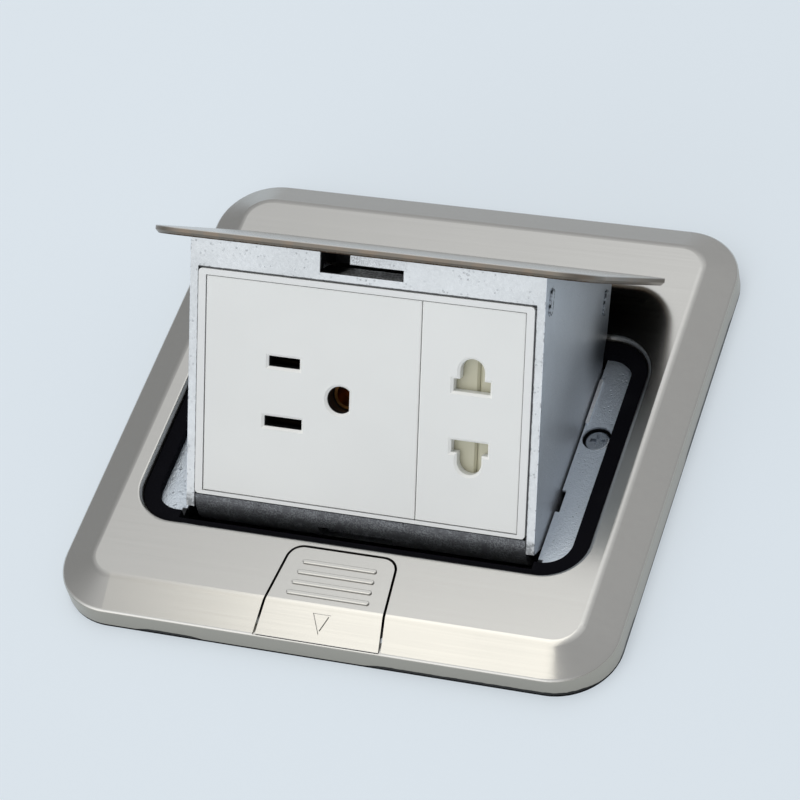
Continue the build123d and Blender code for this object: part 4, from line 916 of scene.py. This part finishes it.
@dataclass
class Springs:
    """The springs that shorten in front of the button and of the shutter leaves."""

    button_x: float = 4.2 * MM
    button_y: tuple[float, float] = (-52.957 * MM, -47.443 * MM)
    button_z: float = 59.0 * MM
    leaf_x: tuple[tuple[float, float], ...] = ((14.863 * MM, 19.126 * MM),
                                               (31.876 * MM, 27.613 * MM))
    leaf_yz: tuple[float, float] = (-13.701 * MM, 81.741 * MM)
    hinge_yz: tuple[float, float] = (34.2 * MM, 44.7 * MM)
    foot_x: float = 31.24 * MM
    leg_x: float = 34.78 * MM

    def set_in(self, name: str, coils: list[Coil], body: str) -> bpy.types.Object:
        """Makes a piece of one or more coils and hangs it on a body.

        Args:
            name: the piece's name.
            coils: its coils.
            body: the body that it rides on.

        Returns:
            The piece.
        """
        parts = [coil.surface() for coil in coils]
        before = np.cumsum([0] + [len(points) for points, _ in parts[:-1]])
        piece = mesh_piece(name, np.concatenate([points for points, _ in parts]),
                           np.concatenate([faces + n for (_, faces), n in zip(parts, before)]))
        piece.data.materials.append(SPRING_WIRE.material())
        piece.data.polygons.foreach_set("use_smooth", np.ones(len(piece.data.polygons), bool))
        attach(piece, body)
        way = np.array(coils[0].run) / np.linalg.norm(coils[0].run)
        anchor = np.array(coils[0].start) - coils[0].wire * way
        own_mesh(piece)
        log.info("%s: %d coils", name, len(coils))
        return piece

    def wind(self, side: str) -> None:
        """Copies a torsion spring into a piece of its own and hides the stiff CAD one.

        Args:
            side: left or right.
        """
        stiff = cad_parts[f"{side}_torsion_spring"]
        mesh = stiff.data.copy()
        mesh.transform(stiff.matrix_world)
        mesh.materials.clear()
        mesh.materials.append(SPRING_WIRE.material())
        piece = bpy.data.objects.new(f"{side}_torsion_coil", mesh)
        bpy.context.scene.collection.objects.link(piece)
        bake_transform(piece)
        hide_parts(f"{side}_torsion_spring")

    def build(self) -> None:
        """Puts new coil pieces in place of the stiff ones."""
        self.wind("left")
        self.wind("right")
        start, end = self.button_y
        button = [Coil((x, start, self.button_z), (0.0, end - start, 0.0), 1.05 * MM, 0.22 * MM, 5)
                  for x in (-self.button_x, self.button_x)]
        piece = self.set_in("button_coils", button, "base")
        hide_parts("button_springs")
        for side, (start, end) in zip(("left", "right"), self.leaf_x):
            coil = Coil((start, *self.leaf_yz), (end - start, 0.0, 0.0), 0.7 * MM, 0.12 * MM, 4)
            piece = self.set_in(f"{side}_leaf_coil", [coil], "carrier")
            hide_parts("shutter_springs")


@dataclass
class Studio:
    """The pale floor, the light and the camera."""

    floor_size: float = 8.0
    cut_half: float = 50.4 * MM
    pocket_foot: float = -1.0 * MM
    floor_colour: tuple[float, float, float] = (0.75, 0.825, 0.895)
    backdrop_colour: tuple[float, float, float] = (0.845, 0.915, 0.975)
    plain_share: float = 0.45
    lens_mm: float = 145.27
    sensor_mm: float = 36.0
    azimuth: float = 29.40
    elevation: float = 48.53
    roll: float = -15.40
    distance: float = 687.56 * MM
    target: tuple[float, float, float] = (-4.674 * MM, 7.877 * MM, FLOOR_Z)

    def floor(self) -> None:
        """Lays the floor: a square ring of four quads round the cut-out for the box."""
        corners = np.array([(-1, -1), (1, -1), (1, 1), (-1, 1)], float)
        rings = np.concatenate([corners * self.cut_half, corners * self.floor_size / 2])
        points = np.column_stack([rings, np.full(8, FLOOR_Z)])
        first = np.arange(4)
        second = (first + 1) % 4
        faces = np.column_stack([first + 4, second + 4, second, first])
        floor = mesh_piece("floor", points, faces)
        material = bpy.data.materials.new("pale_floor")
        material.use_nodes = True
        graph = Graph(material.node_tree)
        lit = graph.add("ShaderNodeBsdfDiffuse", None, {"Color": (*self.floor_colour, 1.0)})
        plain = graph.add("ShaderNodeEmission", None, {"Color": (*self.backdrop_colour, 1.0)})
        seen = graph.add("ShaderNodeLightPath", output="Is Camera Ray")
        mirrored = graph.add("ShaderNodeLightPath", output="Is Glossy Ray")
        mixed = graph.add("ShaderNodeMixShader", None,
                          {0: (seen + mirrored) * self.plain_share, 1: lit, 2: plain})
        graph.add("ShaderNodeOutputMaterial", None, {"Surface": mixed})
        floor.data.materials.append(material)

    def pocket(self) -> None:
        """Lines the floor's cut-out with dark screed: four walls and a foot under the box."""
        corners = np.array([(-1, -1), (1, -1), (1, 1), (-1, 1)], float) * self.cut_half
        points = np.concatenate([np.column_stack([corners, np.full(4, height)])
                                 for height in (FLOOR_Z, self.pocket_foot)])
        first = np.arange(4)
        second = (first + 1) % 4
        walls = np.column_stack([first, second, second + 4, first + 4])
        lining = mesh_piece("screed_pocket", points, np.concatenate([walls, [first + 4]]))
        material = bpy.data.materials.new("screed")
        material.use_nodes = True
        graph = Graph(material.node_tree)
        tone = graph.blend(graph.noise(900.0, 4.0), (0.05, 0.05, 0.048), (0.11, 0.108, 0.10))
        lit = graph.add("ShaderNodeBsdfDiffuse", None, {"Color": tone})
        graph.add("ShaderNodeOutputMaterial", None, {"Surface": lit})
        lining.data.materials.append(material)

    def world(self) -> None:
        """A studio of soft panels: bright above and in front, greyer towards the horizon."""
        world = bpy.data.worlds.new("studio")
        world.use_nodes = True
        bpy.context.scene.world = world
        graph = Graph(world.node_tree)
        direction = graph.add("ShaderNodeTexCoord", output="Generated")

        def lobe(axis: tuple[float, float, float], power: float) -> Signal:
            """How near a direction is to an axis, raised to a power."""
            unit = Vector(axis).normalized()
            return graph.dot(direction, tuple(unit)).at_least(0.0) ** power

        front = lobe((-0.45, -0.87, 0.2), 4.0)
        above = lobe((-0.12, 0.5, 0.8), 20.0)
        left = graph.dot(direction, (-1.0, 0.0, 0.0)).step(0.45, 0.75)
        level = 0.52 + above * 0.75 + front * 1.35 - left * 0.14
        light = graph.add("ShaderNodeBackground", None,
                          {"Color": (0.97, 0.985, 1.0, 1.0), "Strength": level})
        seen = graph.add("ShaderNodeBackground", None,
                         {"Color": (*self.backdrop_colour, 1.0), "Strength": 1.0})
        camera_ray = graph.add("ShaderNodeLightPath", output="Is Camera Ray")
        mixed = graph.add("ShaderNodeMixShader", None, {0: camera_ray, 1: light, 2: seen})
        graph.add("ShaderNodeOutputWorld", None, {"Surface": mixed})

    def panel(self, name: str, place: tuple[float, float, float], size: tuple[float, float],
              watts: float, colour: tuple[float, float, float]) -> None:
        """Hangs a light panel that faces straight down.

        Args:
            name: the lamp's name.
            place: its middle.
            size: its sides along X and Y.
            watts: its power.
            colour: its colour.
        """
        light = bpy.data.lights.new(name, "AREA")
        light.shape = "RECTANGLE"
        light.size, light.size_y = size
        light.energy = watts
        light.color = colour
        lamp = bpy.data.objects.new(name, light)
        bpy.context.scene.collection.objects.link(lamp)
        lamp.matrix_world = Matrix.Translation(place)

    def camera(self) -> None:
        """Sets the camera on its orbit round the target, rolled about its own axis."""
        azimuth, elevation, roll = np.radians([self.azimuth, self.elevation, self.roll])
        back = np.array([np.sin(azimuth) * np.cos(elevation),
                         -np.cos(azimuth) * np.cos(elevation), np.sin(elevation)])
        level = np.array([np.cos(azimuth), np.sin(azimuth), 0.0])
        upright = np.cross(back, level)
        right = np.cos(roll) * level + np.sin(roll) * upright
        up = -np.sin(roll) * level + np.cos(roll) * upright
        data = bpy.data.cameras.new("camera")
        data.lens = self.lens_mm
        data.sensor_width = self.sensor_mm
        data.clip_start = 0.01
        camera = bpy.data.objects.new("camera", data)
        place = np.array(self.target) + self.distance * back
        pose = np.eye(4)
        pose[:3, 0], pose[:3, 1], pose[:3, 2], pose[:3, 3] = right, up, back, place
        camera.matrix_world = Matrix(pose.tolist())
        bpy.context.scene.collection.objects.link(camera)
        bpy.context.scene.camera = camera

    def build(self) -> None:
        """Sets up floor, light and camera."""
        self.floor()
        self.pocket()
        self.world()
        self.panel("strip", (-0.195, -0.025, 0.86), (0.31, 0.85), 0.98, (1.0, 0.965, 0.87))
        self.camera()
        bpy.context.scene.view_settings.view_transform = "Standard"


def main() -> None:
    """Builds the scene, assembly by assembly."""
    logging.basicConfig(level=logging.INFO, format="%(name)s %(message)s")
    for assembly in (Studio(), FacePlate(), Box(), Carrier(), Sockets(), Springs()):
        assembly.build()
        log.info("built %s", type(assembly).__name__)


if __name__ == "__main__":
    main()
